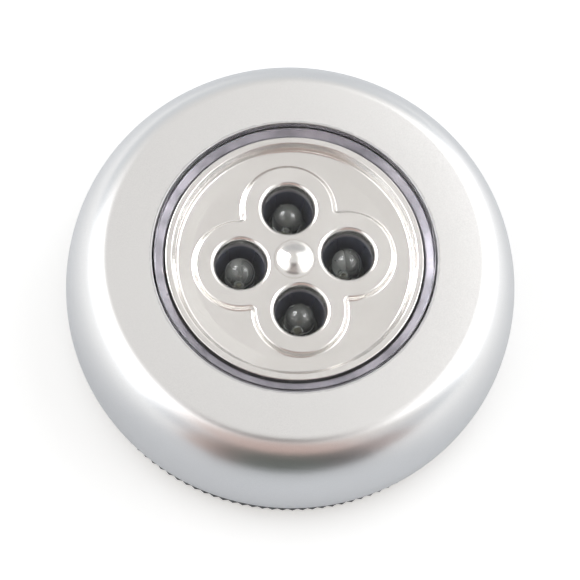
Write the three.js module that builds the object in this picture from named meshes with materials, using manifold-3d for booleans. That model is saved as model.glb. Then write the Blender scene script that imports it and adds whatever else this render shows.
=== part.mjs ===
// Puck light: a stick-on push light with four light-emitting diodes, lying on its back with its lens up.
// Lengths are millimetres, +Z points out of the lens, and the origin is the middle of the pad's glued face.
import * as THREE from "three";
import { mergeVertices } from "three/addons/utils/BufferGeometryUtils.js";
import Module from "manifold-3d";

const wasm = await Module();
wasm.setup();

// Clearances that more than one piece uses
const runningGap = 0.3; // between a sliding or turning piece and its guide
const seatGap = 0.3; // between a piece and the seat that traps it
const holeGap = 0.3; // round a screw, pin or lead in its hole
const cutOverrun = 1; // how far a cut runs past the face that it opens
const rootOverlap = 0.4; // how deep a boss, rib or lug is rooted in the wall that carries it
const weldDistance = 1e-5; // corners closer than this are one corner

// Facets
const bodySides = 64;
const padSides = 40;
const lobeSides = 28;
const cupSides = 24;
const ledSides = 16;
const cellSides = 18;
const screwSides = 12;
const holeSides = 10;
const wireSides = 8;
const arcStepDegrees = 6;

// Foam pad on the back, glued to the wall
const padRadius = 27;
const padThickness = 1;

// Back cover, which twists off for the cells
const coverRimInset = 0.05; // the rim stands this much inside the shell's foot
const coverRimHeight = 2;
const coverRimWall = 1.7;
const coverPlate = 1.4;
const knurlTeeth = 136;
const knurlDepth = 0.45;
const coverLegWall = 1.4; // of the three upright legs
const coverLegDegrees = 9; // half the angle that a leg takes
const coverLugThickness = 1;

// Housing, a silver shell that bulges at its lower third
const cellToShell = 0.86; // between a cell's outermost corner and the shell, which gives a body 75 across
const footInset = 1.2; // the shell's foot is this much narrower than its widest ring
const bulgeRise = 6.3; // from the shell's lower edge to its widest ring
const shoulderRun = 7.2; // how far the elliptical shoulder reaches inwards
const shellWall = 1.8;
const openingRound = 0.3;
const collarWall = 1.5;
const ledgeThickness = 1; // of the three bayonet ledges inside the foot
const ledgeReach = 1;
const ledgeDegrees = 8;
const ledgeLift = 0.2; // above the shell's lower edge
const ledgeStopDegrees = 2.5;
const stopGapDegrees = 0.5;
const bossRadius = 2.8;
const bossInset = 2.9; // from the chassis's edge to the screw's axis
const bossSides = 16;

// Push lens, a clear cap that slides in the housing's collar
const lensRadius = 22.9;
const lensProud = 0.4;
const lensPlate = 1.5;
const lensSkirtWall = 1.6;
const lensEdgeRound = 0.3;
const lensTravel = 1.8;
const travelSpare = 0.4; // left under the skirt when the lens is pushed home
const lensTabReach = 2;
const lensTabThickness = 0.8;
const lensTabDegrees = 20;
const lensBarbLift = 0.9; // above the skirt's foot
const lensBarbReach = 0.9;
const lensBarbThickness = 1;
const lensBarbDegrees = 6;
const lensBarbTurn = 45;
const wireNotchDegrees = 10;
const wireNotchHeight = 2.8;

// Reflector, metallised on top
const reflectorSkirtWall = 1.2;
const ringWidth = 1; // of the flat ring round the dish
const dishLipRun = 0.75; // of the steep lip inside the ring
const dishLipDrop = 0.96;
const dishSlope = 2.05; // how far the shallow slope below the lip reaches inwards
const dishDepth = 2.1;
const reflectorFloor = 1.2;
const plateauRise = 1;
const lobeRadius = 7.3; // at the plateau's top
const lobeSlope = 0.5;
const plateauCentreRadius = 4.6;
const cupPitchRadius = 8.8;
const cupRimRadius = 4.25;
const cupToLamp = 0.8; // between a cup's foot and the lamp in it
const cupChamfer = 0.6;
const cupWall = 1.2;
const cupToBoard = 1.2;
const pipRadius = 2.8;
const pipToLens = 0.2;
const pipTopShare = 0.1;
const postRadius = 2;
const postInset = 0.4; // between a post and the board's edge
const postTurn = 45;

// Light-emitting diodes, 5 mm lamps
const ledCount = 4;
const ledRadius = 2.5;
const ledHeight = 8.6;
const ledInset = 2; // how far a lamp's tip lies below the plateau
const ledFlangeReach = 0.4;
const ledFlangeHeight = 1;
const leadWidth = 0.5;
const leadPitch = 2.54;
const leadReach = 1.9; // from the lamp's seat to the cut end under the board
const leadRise = 3.6; // from the lamp's seat to the top of both leads
const leadHeadHeight = 1.4;
const cathodeHeadWidth = 1.7;
const anodeHeadWidth = 0.8;
const leadFootStep = 0.6; // between a lead's outer face and the lamp's pocket

// Board that carries the lamps
const boardGap = 0.7; // between the board and the chassis's well
const boardThickness = 1.2;
const resistorLength = 3.2;
const resistorWidth = 1.6;
const resistorHeight = 0.6;
const resistorEnd = 0.5;
const resistorCircle = 8.6;
const resistorTurn = 135;

// Push switch under the board
const switchWidth = 8;
const switchHeight = 5.4;
const switchRoof = 0.6;
const switchLip = 0.8;
const switchSpare = 0.6; // left under the switch when the lens is pushed home
const switchCornerChamfer = 0.8;
const switchPinWidth = 0.6;
const switchPinLength = 1.7;
const switchPinPitch = 5;
const plungerRadius = 1.9;
const plungerFlangeReach = 0.7;
const plungerFlangeHeight = 0.7;
const plungerTipRound = 0.4;
const switchSpringRadius = 1.7;
const switchSpringWire = 0.3;
const switchSpringTurns = 2.5;

// Chassis: the tray that holds cells, contacts and the board's well
const chassisGap = 0.4; // between the chassis and the shell's foot that it passes through
const chassisRoof = 1;
const cupToWell = 0.8;
const wellWall = 1;
const wellFloor = 1;
const coverToWell = 0.4;
const trayWall = 1.2;
const trayWallLift = 0.8; // above the cover's plate
const traySideHalf = 14;
const trayEndToScrew = 0.9; // from an end wall to the case screw's head beside it
const trayEndInset = 1.35; // from the cell's outer side to an end wall's outer end

// Cells, three of the 10.5 by 44.5 kind, laid as a triangle round the well
const cellCount = 3;
const cellRadius = 5.25;
const cellLength = 44.5;
const cellNubRadius = 1.9;
const cellNubLength = 0.9;
const cellEdge = 0.5;
const cellGrooveInset = 1.6;
const cellGrooveWidth = 1;
const cellGrooveDepth = 0.35;
const cellToCover = 0.4;
const cellShift = 1.95; // of the cell towards its positive contact

// Contacts and their springs
const contactSheet = 0.4;
const contactEdgeInset = 1.4; // from a cell's lowest and highest lines to a contact's edges
const contactToShell = 1.2; // from a contact's outer corner to the shell's inside at its widest
const terminalInset = 1.65; // from the cell's inner side to a terminal's inner end
const tabToBoss = 0.25; // from the housing's boss to a terminal's tab, measured along the bay's width
const tabWidth = 1.8;
const tabRise = 1.6; // above the chassis roof
const contactSpringInset = 1.45; // from a cell's side to the spring's widest turn
const contactSpringNarrow = 1.5;
const contactSpringWire = 0.5;
const contactSpringTurns = 2.5;

// Screws
const caseScrewHeadRadius = 2.4;
const caseScrewHeadHeight = 1.4;
const caseScrewShankRadius = 1.2;
const caseScrewLength = 5.6; // above its head
const boardScrewHeadRadius = 1.7;
const boardScrewHeadHeight = 1.2;
const boardScrewShankRadius = 0.9;
const boardScrewLength = 5.2;
const pilotDepth = 0.6; // past the screw's end
const recessWidthShare = 0.24; // of the head's radius
const recessLengthShare = 0.62;
const recessDepthShare = 0.55; // of the head's height

// Coils are drawn with this many steps a turn and this many sides
const coilSteps = 8;
const coilSides = 5;

// Wires between the terminals and the board: radius, and routes chosen by hand
const wireRadius = 0.5;
const wireSteps = 22;
const redRoute = [
  [-30.5, 4.9, 15.6],
  [-28.6, 5.6, 15.6],
  [-25.4, 4.4, 15.5],
  [-22.1, 2.2, 15.5],
  [-18.6, 3.4, 15.6],
  [-15.4, 4.8, 15.6],
  [-12.6, 5.6, 15],
  [-11.4, 5.8, 14],
  [-11.4, 5.8, 13.1],
];
const blackRoute = [
  [-30.5, -4.9, 15.6],
  [-28.6, -5.6, 15.6],
  [-25.4, -4.2, 15.5],
  [-22.1, -2, 15.5],
  [-18.6, -2.9, 15.6],
  [-15.6, -3.9, 15.6],
  [-12.9, -4.7, 15],
  [-11.6, -4.8, 14],
  [-11.6, -4.8, 13.1],
];

// Levels from the pad upwards: the switch and the lamps set how high the lens and the shell stand
const coverBase = padThickness;
const coverTop = coverBase + coverPlate;
const rimTop = coverBase + coverRimHeight;
const shellFoot = rimTop + runningGap;
const bulgeLevel = shellFoot + bulgeRise;
const wellFloorBase = coverTop + coverToWell;
const wellFloorTop = wellFloorBase + wellFloor;
const switchFoot = wellFloorTop + lensTravel + switchSpare;
const boardUnder = switchFoot + switchHeight;
const boardTop = boardUnder + boardThickness;
const cupFootLevel = boardTop + cupToBoard;
const plateauLevel = boardTop + ledHeight + ledInset;
const dishLevel = plateauLevel - plateauRise;
const dishUnder = dishLevel - reflectorFloor;
const lensUnder = dishLevel + dishDepth;
const lensTop = lensUnder + lensPlate;
const shellTop = lensTop - lensProud;
const shoulderRise = shellTop - bulgeLevel;
const cellRise = coverTop + cellToCover + cellRadius;
const chassisUnder = cellRise + cellRadius + seatGap;
const chassisTop = chassisUnder + chassisRoof;
const lensSkirtFoot = chassisTop + lensTravel + travelSpare;
const collarFoot = lensSkirtFoot + lensTabThickness + runningGap;
const barbTop = lensSkirtFoot + lensBarbLift + lensBarbThickness;
const reflectorFoot = barbTop + seatGap;

// The light is divided in as many sectors as it has cells
const sector = 360 / cellCount;
const halfSector = sector / 2;
const cornerShare = Math.cos(THREE.MathUtils.degToRad(halfSector));

// Places across the light: the cups set the well, the well sets the cells, and the cells set the shell
const cupFootRadius = ledRadius + cupToLamp;
const wellRadius = cupPitchRadius + cupFootRadius + cupWall + cupToWell;
const boardRadius = wellRadius - boardGap;
const postCircle = boardRadius - postInset - postRadius;
const cellCircle = wellRadius + wellWall + seatGap + cellRadius;
const cellShoulder = cellLength / 2 + cellShift - cellNubLength;
const contactFace = cellLength / 2 + cellShift + seatGap; // from the bay's middle to a contact's face
const bodyRadius = Math.hypot(cellCircle + cellRadius, cellShoulder) + cellToShell + shellWall;
const bodyFootRadius = bodyRadius - footInset;
const footBore = bodyFootRadius - shellWall;
const flatRadius = bodyRadius - shoulderRun;
const coverRimRadius = bodyFootRadius - coverRimInset;
const ledgeInner = footBore - ledgeReach;
const coverLegRadius = ledgeInner - runningGap;
const lugRadius = footBore - runningGap;
const ledgeBase = shellFoot + ledgeLift;
const ledgeTop = ledgeBase + ledgeThickness;
const lugBase = ledgeTop + runningGap;
const lugTop = lugBase + coverLugThickness;
const chassisRadius = footBore - chassisGap;
const bossCircle = chassisRadius - bossInset;
const openingRadius = lensRadius + runningGap;
const lensSkirtInner = lensRadius - lensSkirtWall;
const reflectorRadius = lensSkirtInner - seatGap;
const dishRadius = reflectorRadius - ringWidth;
const contactFoot = cellRise - cellRadius + contactEdgeInset;
const contactTop = cellRise + cellRadius - contactEdgeInset;
const contactCorner = bodyRadius - shellWall - contactToShell;
const contactOuter = Math.sqrt(contactCorner ** 2 - (contactFace + contactSheet) ** 2);
const contactSpringWide = cellRadius - contactSpringInset;
const terminalInner = cellCircle - cellRadius + terminalInset;
const tabInner = bossCircle * cornerShare + bossRadius + tabToBoss;
const tabTop = chassisTop + tabRise;

const finishes = {
  silver: { color: 0xc9c9cb, roughness: 0.36, metalness: 0.7 },
  clear: { color: 0xeef0f4, roughness: 0.04, metalness: 0, transparent: true, opacity: 0.25 },
  metallised: { color: 0xd9d8d6, roughness: 0.18, metalness: 0.9 },
  epoxy: { color: 0xc4c8be, roughness: 0.06, metalness: 0, transparent: true, opacity: 0.55 },
  tin: { color: 0xb9babc, roughness: 0.3, metalness: 1 },
  steel: { color: 0xa6a8ab, roughness: 0.28, metalness: 1 },
  board: { color: 0x1c211f, roughness: 0.5, metalness: 0 },
  ceramic: { color: 0x1d1d20, roughness: 0.4, metalness: 0 },
  black: { color: 0x202124, roughness: 0.5, metalness: 0 },
  ivory: { color: 0xd8d2c0, roughness: 0.45, metalness: 0 },
  graphite: { color: 0x3a3c3b, roughness: 0.6, metalness: 0 },
  cell: { color: 0x8d9095, roughness: 0.35, metalness: 0.8 },
  foam: { color: 0xe9e8e2, roughness: 0.95, metalness: 0 },
  red: { color: 0xa82020, roughness: 0.45, metalness: 0 },
  dark: { color: 0x17181a, roughness: 0.45, metalness: 0 },
};

const radians = THREE.MathUtils.degToRad;

// Solids and the work done on them

function toSolid(geometry) {
  const bare = geometry.clone();
  bare.deleteAttribute("normal");
  bare.deleteAttribute("uv");
  const merged = mergeVertices(bare, weldDistance);
  return new wasm.Manifold(
    new wasm.Mesh({
      numProp: 3,
      vertProperties: merged.attributes.position.array,
      triVerts: new Uint32Array(merged.index.array),
    }),
  );
}

function toGeometry(solid) {
  const mesh = solid.getMesh();
  const geometry = new THREE.BufferGeometry();
  geometry.setAttribute("position", new THREE.BufferAttribute(mesh.vertProperties, mesh.numProp));
  geometry.setIndex(new THREE.BufferAttribute(mesh.triVerts, 1));
  return geometry;
}

function join(...pieces) {
  return toGeometry(pieces.map(toSolid).reduce((all, next) => all.add(next)));
}

function cut(piece, ...tools) {
  return toGeometry(tools.map(toSolid).reduce((left, tool) => left.subtract(tool), toSolid(piece)));
}

function common(piece, other) {
  return toGeometry(toSolid(piece).intersect(toSolid(other)));
}

// Turns a copy about the Z axis, after moving it
function placed(geometry, degrees, x = 0, y = 0, z = 0) {
  const copy = geometry.clone();
  copy.translate(x, y, z);
  copy.rotateZ(radians(degrees));
  return copy;
}

// The same piece at every one of the given angles
function around(angles, geometry) {
  return angles.map((degrees) => placed(geometry, degrees));
}

function evenly(count, start = 0) {
  return Array.from({ length: count }, (unused, index) => start + (index * 360) / count);
}

// A turned solid from [radius, height] points, listed anticlockwise
function turned(points, sides) {
  const profile = points.map(([radius, height]) => new THREE.Vector2(radius, height));
  const geometry = new THREE.LatheGeometry(profile, sides);
  geometry.rotateX(Math.PI / 2);
  return geometry;
}

function turnedRing(points, sides) {
  return turned([...points, points[0]], sides);
}

function disc(radius, low, high, sides) {
  return turned(
    [
      [0, low],
      [radius, low],
      [radius, high],
      [0, high],
    ],
    sides,
  );
}

function discAt(x, y, radius, low, high, sides) {
  return placed(disc(radius, low, high, sides), 0, x, y);
}

function box(x0, x1, y0, y1, z0, z1) {
  const geometry = new THREE.BoxGeometry(x1 - x0, y1 - y0, z1 - z0);
  geometry.translate((x0 + x1) / 2, (y0 + y1) / 2, (z0 + z1) / 2);
  return geometry;
}

function prism(outline, low, high) {
  const shape = new THREE.Shape(outline.map(([x, y]) => new THREE.Vector2(x, y)));
  const geometry = new THREE.ExtrudeGeometry(shape, { depth: high - low, bevelEnabled: false });
  geometry.translate(0, 0, low);
  return geometry;
}

// A block bounded by two arcs, from one angle to another
function arcBlock(inner, outer, from, to, low, high) {
  const steps = Math.max(2, Math.ceil((to - from) / arcStepDegrees));
  const arc = (radius, index) => {
    const angle = radians(from + ((to - from) * index) / steps);
    return [radius * Math.cos(angle), radius * Math.sin(angle)];
  };
  const outside = Array.from({ length: steps + 1 }, (unused, index) => arc(outer, index));
  const inside = Array.from({ length: steps + 1 }, (unused, index) => arc(inner, steps - index));
  return prism([...outside, ...inside], low, high);
}

// A round wire along a curve
function wire(curve, radius, sides, steps) {
  const section = new THREE.Shape(
    evenly(sides).map((degrees) => {
      const angle = radians(degrees);
      return new THREE.Vector2(radius * Math.cos(angle), radius * Math.sin(angle));
    }),
  );
  return new THREE.ExtrudeGeometry(section, { steps, extrudePath: curve, bevelEnabled: false });
}

// A coil about the Z axis that may narrow as it rises
class Coil extends THREE.Curve {
  constructor(wide, narrow, low, high, turns) {
    super();
    Object.assign(this, { wide, narrow, low, high, turns });
  }

  getPoint(share, target = new THREE.Vector3()) {
    const radius = this.wide + (this.narrow - this.wide) * share;
    const angle = 2 * Math.PI * this.turns * share;
    const height = this.low + (this.high - this.low) * share;
    return target.set(radius * Math.cos(angle), radius * Math.sin(angle), height);
  }
}

function coil(wide, narrow, low, high, turns, wireThickness) {
  const inset = wireThickness / 2;
  const path = new Coil(wide, narrow, low + inset, high - inset, turns);
  return wire(path, inset, coilSides, Math.round(turns * coilSteps));
}

// The smallest gap between one turn of a coil and the next, measured on points along it
function coilGap(wide, narrow, low, high, turns, wireThickness) {
  const path = new Coil(wide, narrow, low, high, turns);
  const points = path.getPoints(turns * coilSteps * coilSteps);
  const apart = Math.round((points.length - 1) / turns / 2);
  let least = Infinity;
  points.forEach((point, index) => {
    points.slice(index + apart).forEach((other) => {
      least = Math.min(least, point.distanceTo(other));
    });
  });
  return least - wireThickness;
}

// A cross-recessed screw, head down, whose shank rises from the level that the head bears on
function screw(headRadius, headHeight, shankRadius, length, seat) {
  const low = seat - headHeight;
  const edge = headHeight * recessDepthShare;
  const body = turned(
    [
      [0, low],
      [headRadius - edge, low],
      [headRadius, low + edge],
      [headRadius, seat],
      [shankRadius, seat],
      [shankRadius, seat + length - shankRadius],
      [0, seat + length],
    ],
    screwSides,
  );
  const slim = headRadius * recessWidthShare;
  const wide = headRadius * recessLengthShare;
  const top = low + headHeight * recessDepthShare;
  return cut(
    body,
    box(-wide, wide, -slim, slim, low - cutOverrun, top),
    box(-slim, slim, -wide, wide, low - cutOverrun, top),
  );
}

// The pieces

function foamPad() {
  return disc(padRadius, 0, padThickness, padSides);
}

function knurledDisc() {
  const outline = [];
  for (const degrees of evenly(knurlTeeth)) {
    const half = 180 / knurlTeeth;
    const crest = radians(degrees);
    const root = radians(degrees + half);
    const rootRadius = coverRimRadius - knurlDepth;
    outline.push([coverRimRadius * Math.cos(crest), coverRimRadius * Math.sin(crest)]);
    outline.push([rootRadius * Math.cos(root), rootRadius * Math.sin(root)]);
  }
  return prism(outline, coverBase, rimTop);
}

function backCover() {
  const recess = disc(coverRimRadius - coverRimWall, coverTop, rimTop + cutOverrun, bodySides);
  const legs = evenly(cellCount).flatMap((degrees) => {
    const from = degrees - coverLegDegrees;
    const to = degrees + coverLegDegrees;
    const legInner = coverLegRadius - coverLegWall;
    return [
      arcBlock(legInner, coverLegRadius, from, to, coverTop - rootOverlap, lugTop),
      arcBlock(legInner, lugRadius, from, to, lugBase, lugTop),
    ];
  });
  return join(cut(knurledDisc(), recess), ...legs);
}

// The shell's outside: a shallow curve from the foot to the bulge, an elliptical shoulder and a flat top
function shellOutline() {
  const footSteps = 3;
  const shoulderSteps = 9;
  const points = [];
  for (let step = 0; step < footSteps; step += 1) {
    const share = 1 - step / footSteps;
    points.push([bodyRadius - footInset * share * share, bulgeLevel - bulgeRise * share]);
  }
  for (let step = 0; step <= shoulderSteps; step += 1) {
    const angle = (Math.PI / 2) * (step / shoulderSteps);
    points.push([
      flatRadius + shoulderRun * Math.cos(angle),
      bulgeLevel + shoulderRise * Math.sin(angle),
    ]);
  }
  return points;
}

function shellInside() {
  const steps = 4;
  const points = [];
  for (let step = 0; step <= steps; step += 1) {
    const angle = (Math.PI / 2) * (1 - step / steps);
    points.push([
      flatRadius + (shoulderRun - shellWall) * Math.cos(angle),
      bulgeLevel + (shoulderRise - shellWall) * Math.sin(angle),
    ]);
  }
  points.push([footBore, shellFoot]);
  return points;
}

function shellMouth() {
  return [
    [openingRadius + openingRound, shellTop],
    [openingRadius + openingRound * (1 - Math.SQRT1_2), shellTop - openingRound * (1 - Math.SQRT1_2)],
    [openingRadius, shellTop - openingRound],
    [openingRadius, collarFoot],
    [openingRadius + collarWall, collarFoot],
    [openingRadius + collarWall, shellTop - shellWall],
  ];
}

function housing() {
  const shell = turnedRing([...shellOutline(), ...shellMouth(), ...shellInside()], bodySides);
  const outside = turned([[0, shellFoot], ...shellOutline(), [0, shellTop]], bodySides);
  const bosses = around(
    evenly(cellCount, halfSector),
    discAt(bossCircle, 0, bossRadius, chassisTop, shellTop - shellWall / 2, bossSides),
  );
  const ledgeOuter = footBore + rootOverlap;
  const ledges = evenly(cellCount).flatMap((degrees) => {
    const from = degrees - ledgeDegrees;
    const stopFrom = degrees + coverLegDegrees + stopGapDegrees;
    const stopTo = stopFrom + ledgeStopDegrees;
    return [
      arcBlock(ledgeInner, ledgeOuter, from, stopTo, ledgeBase, ledgeTop),
      arcBlock(ledgeInner, ledgeOuter, stopFrom, stopTo, ledgeBase, lugTop),
    ];
  });
  const pilots = around(
    evenly(cellCount, halfSector),
    discAt(
      bossCircle,
      0,
      caseScrewShankRadius + holeGap,
      chassisTop - cutOverrun,
      chassisUnder + caseScrewLength + pilotDepth,
      screwSides,
    ),
  );
  return cut(join(shell, ...ledges, ...bosses.map((boss) => common(boss, outside))), ...pilots);
}

function lens() {
  const cap = turned(
    [
      [0, lensUnder],
      [lensSkirtInner, lensUnder],
      [lensSkirtInner, lensSkirtFoot],
      [lensRadius, lensSkirtFoot],
      [lensRadius, lensTop - lensEdgeRound],
      [lensRadius - lensEdgeRound * (1 - Math.SQRT1_2), lensTop - lensEdgeRound * (1 - Math.SQRT1_2)],
      [lensRadius - lensEdgeRound, lensTop],
      [0, lensTop],
    ],
    bodySides,
  );
  const tabs = evenly(cellCount).map((degrees) =>
    arcBlock(
      lensRadius - rootOverlap,
      lensRadius + lensTabReach,
      degrees - lensTabDegrees,
      degrees + lensTabDegrees,
      lensSkirtFoot,
      lensSkirtFoot + lensTabThickness,
    ),
  );
  const barbs = evenly(ledCount, lensBarbTurn).map((degrees) =>
    arcBlock(
      lensSkirtInner - lensBarbReach,
      lensSkirtInner + rootOverlap,
      degrees - lensBarbDegrees,
      degrees + lensBarbDegrees,
      barbTop - lensBarbThickness,
      barbTop,
    ),
  );
  const notch = arcBlock(
    lensSkirtInner - cutOverrun,
    lensRadius + cutOverrun,
    180 - wireNotchDegrees,
    180 + wireNotchDegrees,
    lensSkirtFoot - cutOverrun,
    lensSkirtFoot + wireNotchHeight,
  );
  return cut(join(cap, ...tabs, ...barbs), notch);
}

function reflectorDish() {
  const skirtInner = reflectorRadius - reflectorSkirtWall;
  return turned(
    [
      [0, dishUnder],
      [skirtInner, dishUnder],
      [skirtInner, reflectorFoot],
      [reflectorRadius, reflectorFoot],
      [reflectorRadius, lensUnder],
      [dishRadius, lensUnder],
      [dishRadius - dishLipRun, lensUnder - dishLipDrop],
      [dishRadius - dishLipRun - dishSlope, dishLevel],
      [0, dishLevel],
    ],
    bodySides,
  );
}

function lobe() {
  const foot = lobeRadius + lobeSlope;
  return turned(
    [
      [0, dishUnder + rootOverlap],
      [foot, dishUnder + rootOverlap],
      [foot, dishLevel],
      [lobeRadius, plateauLevel],
      [0, plateauLevel],
    ],
    lobeSides,
  );
}

function cupOutside() {
  return turned(
    [
      [0, cupFootLevel],
      [cupFootRadius + cupWall, cupFootLevel],
      [cupRimRadius + cupWall, plateauLevel - plateauRise / 2],
      [0, plateauLevel - plateauRise / 2],
    ],
    cupSides,
  );
}

function cupInside() {
  const slope = (cupRimRadius - cupFootRadius) / (plateauLevel - cupFootLevel);
  return turned(
    [
      [0, cupFootLevel - cutOverrun],
      [cupFootRadius - slope * cutOverrun, cupFootLevel - cutOverrun],
      [cupRimRadius, plateauLevel - cupChamfer],
      [cupRimRadius + cupChamfer + cutOverrun, plateauLevel + cutOverrun],
      [0, plateauLevel + cutOverrun],
    ],
    cupSides,
  );
}

function pip() {
  return turned(
    [
      [0, plateauLevel - rootOverlap],
      [pipRadius, plateauLevel - rootOverlap],
      [pipRadius, plateauLevel],
      [pipRadius * pipTopShare, lensUnder - pipToLens],
      [0, lensUnder - pipToLens],
    ],
    cupSides,
  );
}

function postAngles() {
  return evenly(2, postTurn);
}

function boardScrewEnd() {
  return boardUnder + boardScrewLength;
}

function reflector() {
  const lampAngles = evenly(ledCount);
  const cups = around(lampAngles, placed(cupOutside(), 0, cupPitchRadius));
  const lobes = around(lampAngles, placed(lobe(), 0, cupPitchRadius));
  const centre = disc(plateauCentreRadius, dishUnder + rootOverlap, plateauLevel, cupSides);
  const bores = around(lampAngles, placed(cupInside(), 0, cupPitchRadius));
  const post = discAt(postCircle, 0, postRadius, boardTop, dishUnder + rootOverlap, screwSides);
  const pilot = discAt(
    postCircle,
    0,
    boardScrewShankRadius + holeGap,
    boardTop - cutOverrun,
    boardScrewEnd() + pilotDepth,
    holeSides,
  );
  const plate = join(reflectorDish(), ...lobes, centre, ...cups, pip(), ...around(postAngles(), post));
  return cut(plate, ...bores, ...around(postAngles(), pilot));
}

function lamp() {
  const domeLevel = boardTop + ledHeight - ledRadius;
  const domeSteps = 5;
  const dome = Array.from({ length: domeSteps + 1 }, (unused, step) => {
    const angle = (Math.PI / 2) * (step / domeSteps);
    return [ledRadius * Math.cos(angle), domeLevel + ledRadius * Math.sin(angle)];
  });
  dome[domeSteps][0] = 0;
  const body = turned(
    [
      [0, boardTop],
      [ledRadius + ledFlangeReach, boardTop],
      [ledRadius + ledFlangeReach, boardTop + ledFlangeHeight],
      [ledRadius, boardTop + ledFlangeHeight],
      ...dome,
    ],
    ledSides,
  );
  const halfLength = leadPitch / 2 + leadFootStep;
  const halfWidth = leadWidth / 2 + holeGap;
  const pocketTop = boardTop + leadRise + holeGap;
  const pocket = box(-halfLength, halfLength, -halfWidth, halfWidth, boardTop - cutOverrun, pocketTop);
  return cut(body, pocket);
}

// A flat stamped lead: a leg through the board and a wider head in the lamp, reaching towards the middle
function lead(side, headWidth) {
  const outer = leadPitch / 2 + leadWidth / 2;
  const legInner = leadPitch / 2 - leadWidth / 2;
  const headInner = outer - headWidth;
  const outline = [
    [outer, -leadReach],
    [outer, leadRise],
    [headInner, leadRise],
    [headInner, leadRise - leadHeadHeight],
    [legInner, leadRise - leadHeadHeight],
    [legInner, -leadReach],
  ];
  const geometry = prism(outline, -leadWidth / 2, leadWidth / 2);
  geometry.rotateX(Math.PI / 2);
  if (side < 0) geometry.rotateZ(Math.PI);
  geometry.translate(0, 0, boardTop);
  return geometry;
}

function board() {
  const plate = disc(boardRadius, boardUnder, boardTop, bodySides / 2);
  const hole = (x, y, radius) =>
    discAt(x, y, radius, boardUnder - cutOverrun, boardTop + cutOverrun, holeSides);
  const leadHole = Math.SQRT1_2 * leadWidth + holeGap;
  const pinHole = Math.SQRT1_2 * switchPinWidth + holeGap;
  const half = switchPinPitch / 2;
  return cut(
    plate,
    ...around(evenly(ledCount), hole(cupPitchRadius, leadPitch / 2, leadHole)),
    ...around(evenly(ledCount), hole(cupPitchRadius, -leadPitch / 2, leadHole)),
    ...around(postAngles(), hole(postCircle, 0, boardScrewShankRadius + holeGap)),
    ...around(evenly(ledCount), hole(half, half, pinHole)),
  );
}

// A chip resistor with a raised cap at each end, lying against the board's underside
function resistor() {
  const cap = resistorEnd / resistorLength;
  const thin = resistorHeight * (1 - cap);
  const half = resistorLength / 2;
  const body = box(-half, half, -resistorWidth / 2, resistorWidth / 2, boardUnder - thin, boardUnder);
  const end = (x0, x1) =>
    box(x0, x1, -resistorWidth / 2, resistorWidth / 2, boardUnder - resistorHeight, boardUnder);
  return join(body, end(-half, -half + resistorEnd), end(half - resistorEnd, half));
}

function switchBody() {
  const half = switchWidth / 2;
  const corner = half - switchCornerChamfer;
  const outline = [
    [half, -corner],
    [half, corner],
    [corner, half],
    [-corner, half],
    [-half, corner],
    [-half, -corner],
    [-corner, -half],
    [corner, -half],
  ];
  const pinHalf = switchPinWidth / 2;
  const pinAt = switchPinPitch / 2;
  const pin = box(
    pinAt - pinHalf,
    pinAt + pinHalf,
    pinAt - pinHalf,
    pinAt + pinHalf,
    boardUnder - rootOverlap,
    boardUnder + switchPinLength,
  );
  const mouth = plungerRadius + holeGap;
  const boreRadius = plungerRadius + plungerFlangeReach + holeGap;
  const bore = turned(
    [
      [0, switchFoot - cutOverrun],
      [mouth, switchFoot - cutOverrun],
      [mouth, switchFoot + switchLip],
      [boreRadius, switchFoot + switchLip],
      [boreRadius, boardUnder - switchRoof],
      [0, boardUnder - switchRoof],
    ],
    screwSides,
  );
  return cut(join(prism(outline, switchFoot, boardUnder), ...around(evenly(ledCount), pin)), bore);
}

function plungerFlangeTop() {
  return switchFoot + switchLip + holeGap + plungerFlangeHeight;
}

function switchPlunger() {
  const foot = wellFloorTop + seatGap;
  const flangeTop = plungerFlangeTop();
  return turned(
    [
      [0, foot],
      [plungerRadius - plungerTipRound, foot],
      [plungerRadius, foot + plungerTipRound],
      [plungerRadius, flangeTop - plungerFlangeHeight],
      [plungerRadius + plungerFlangeReach, flangeTop - plungerFlangeHeight],
      [plungerRadius + plungerFlangeReach, flangeTop],
      [0, flangeTop],
    ],
    screwSides,
  );
}

function switchSpring() {
  const low = plungerFlangeTop() + seatGap;
  const high = boardUnder - switchRoof - seatGap;
  return coil(switchSpringRadius, switchSpringRadius, low, high, switchSpringTurns, switchSpringWire);
}

function bayFrames() {
  return evenly(cellCount);
}

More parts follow.
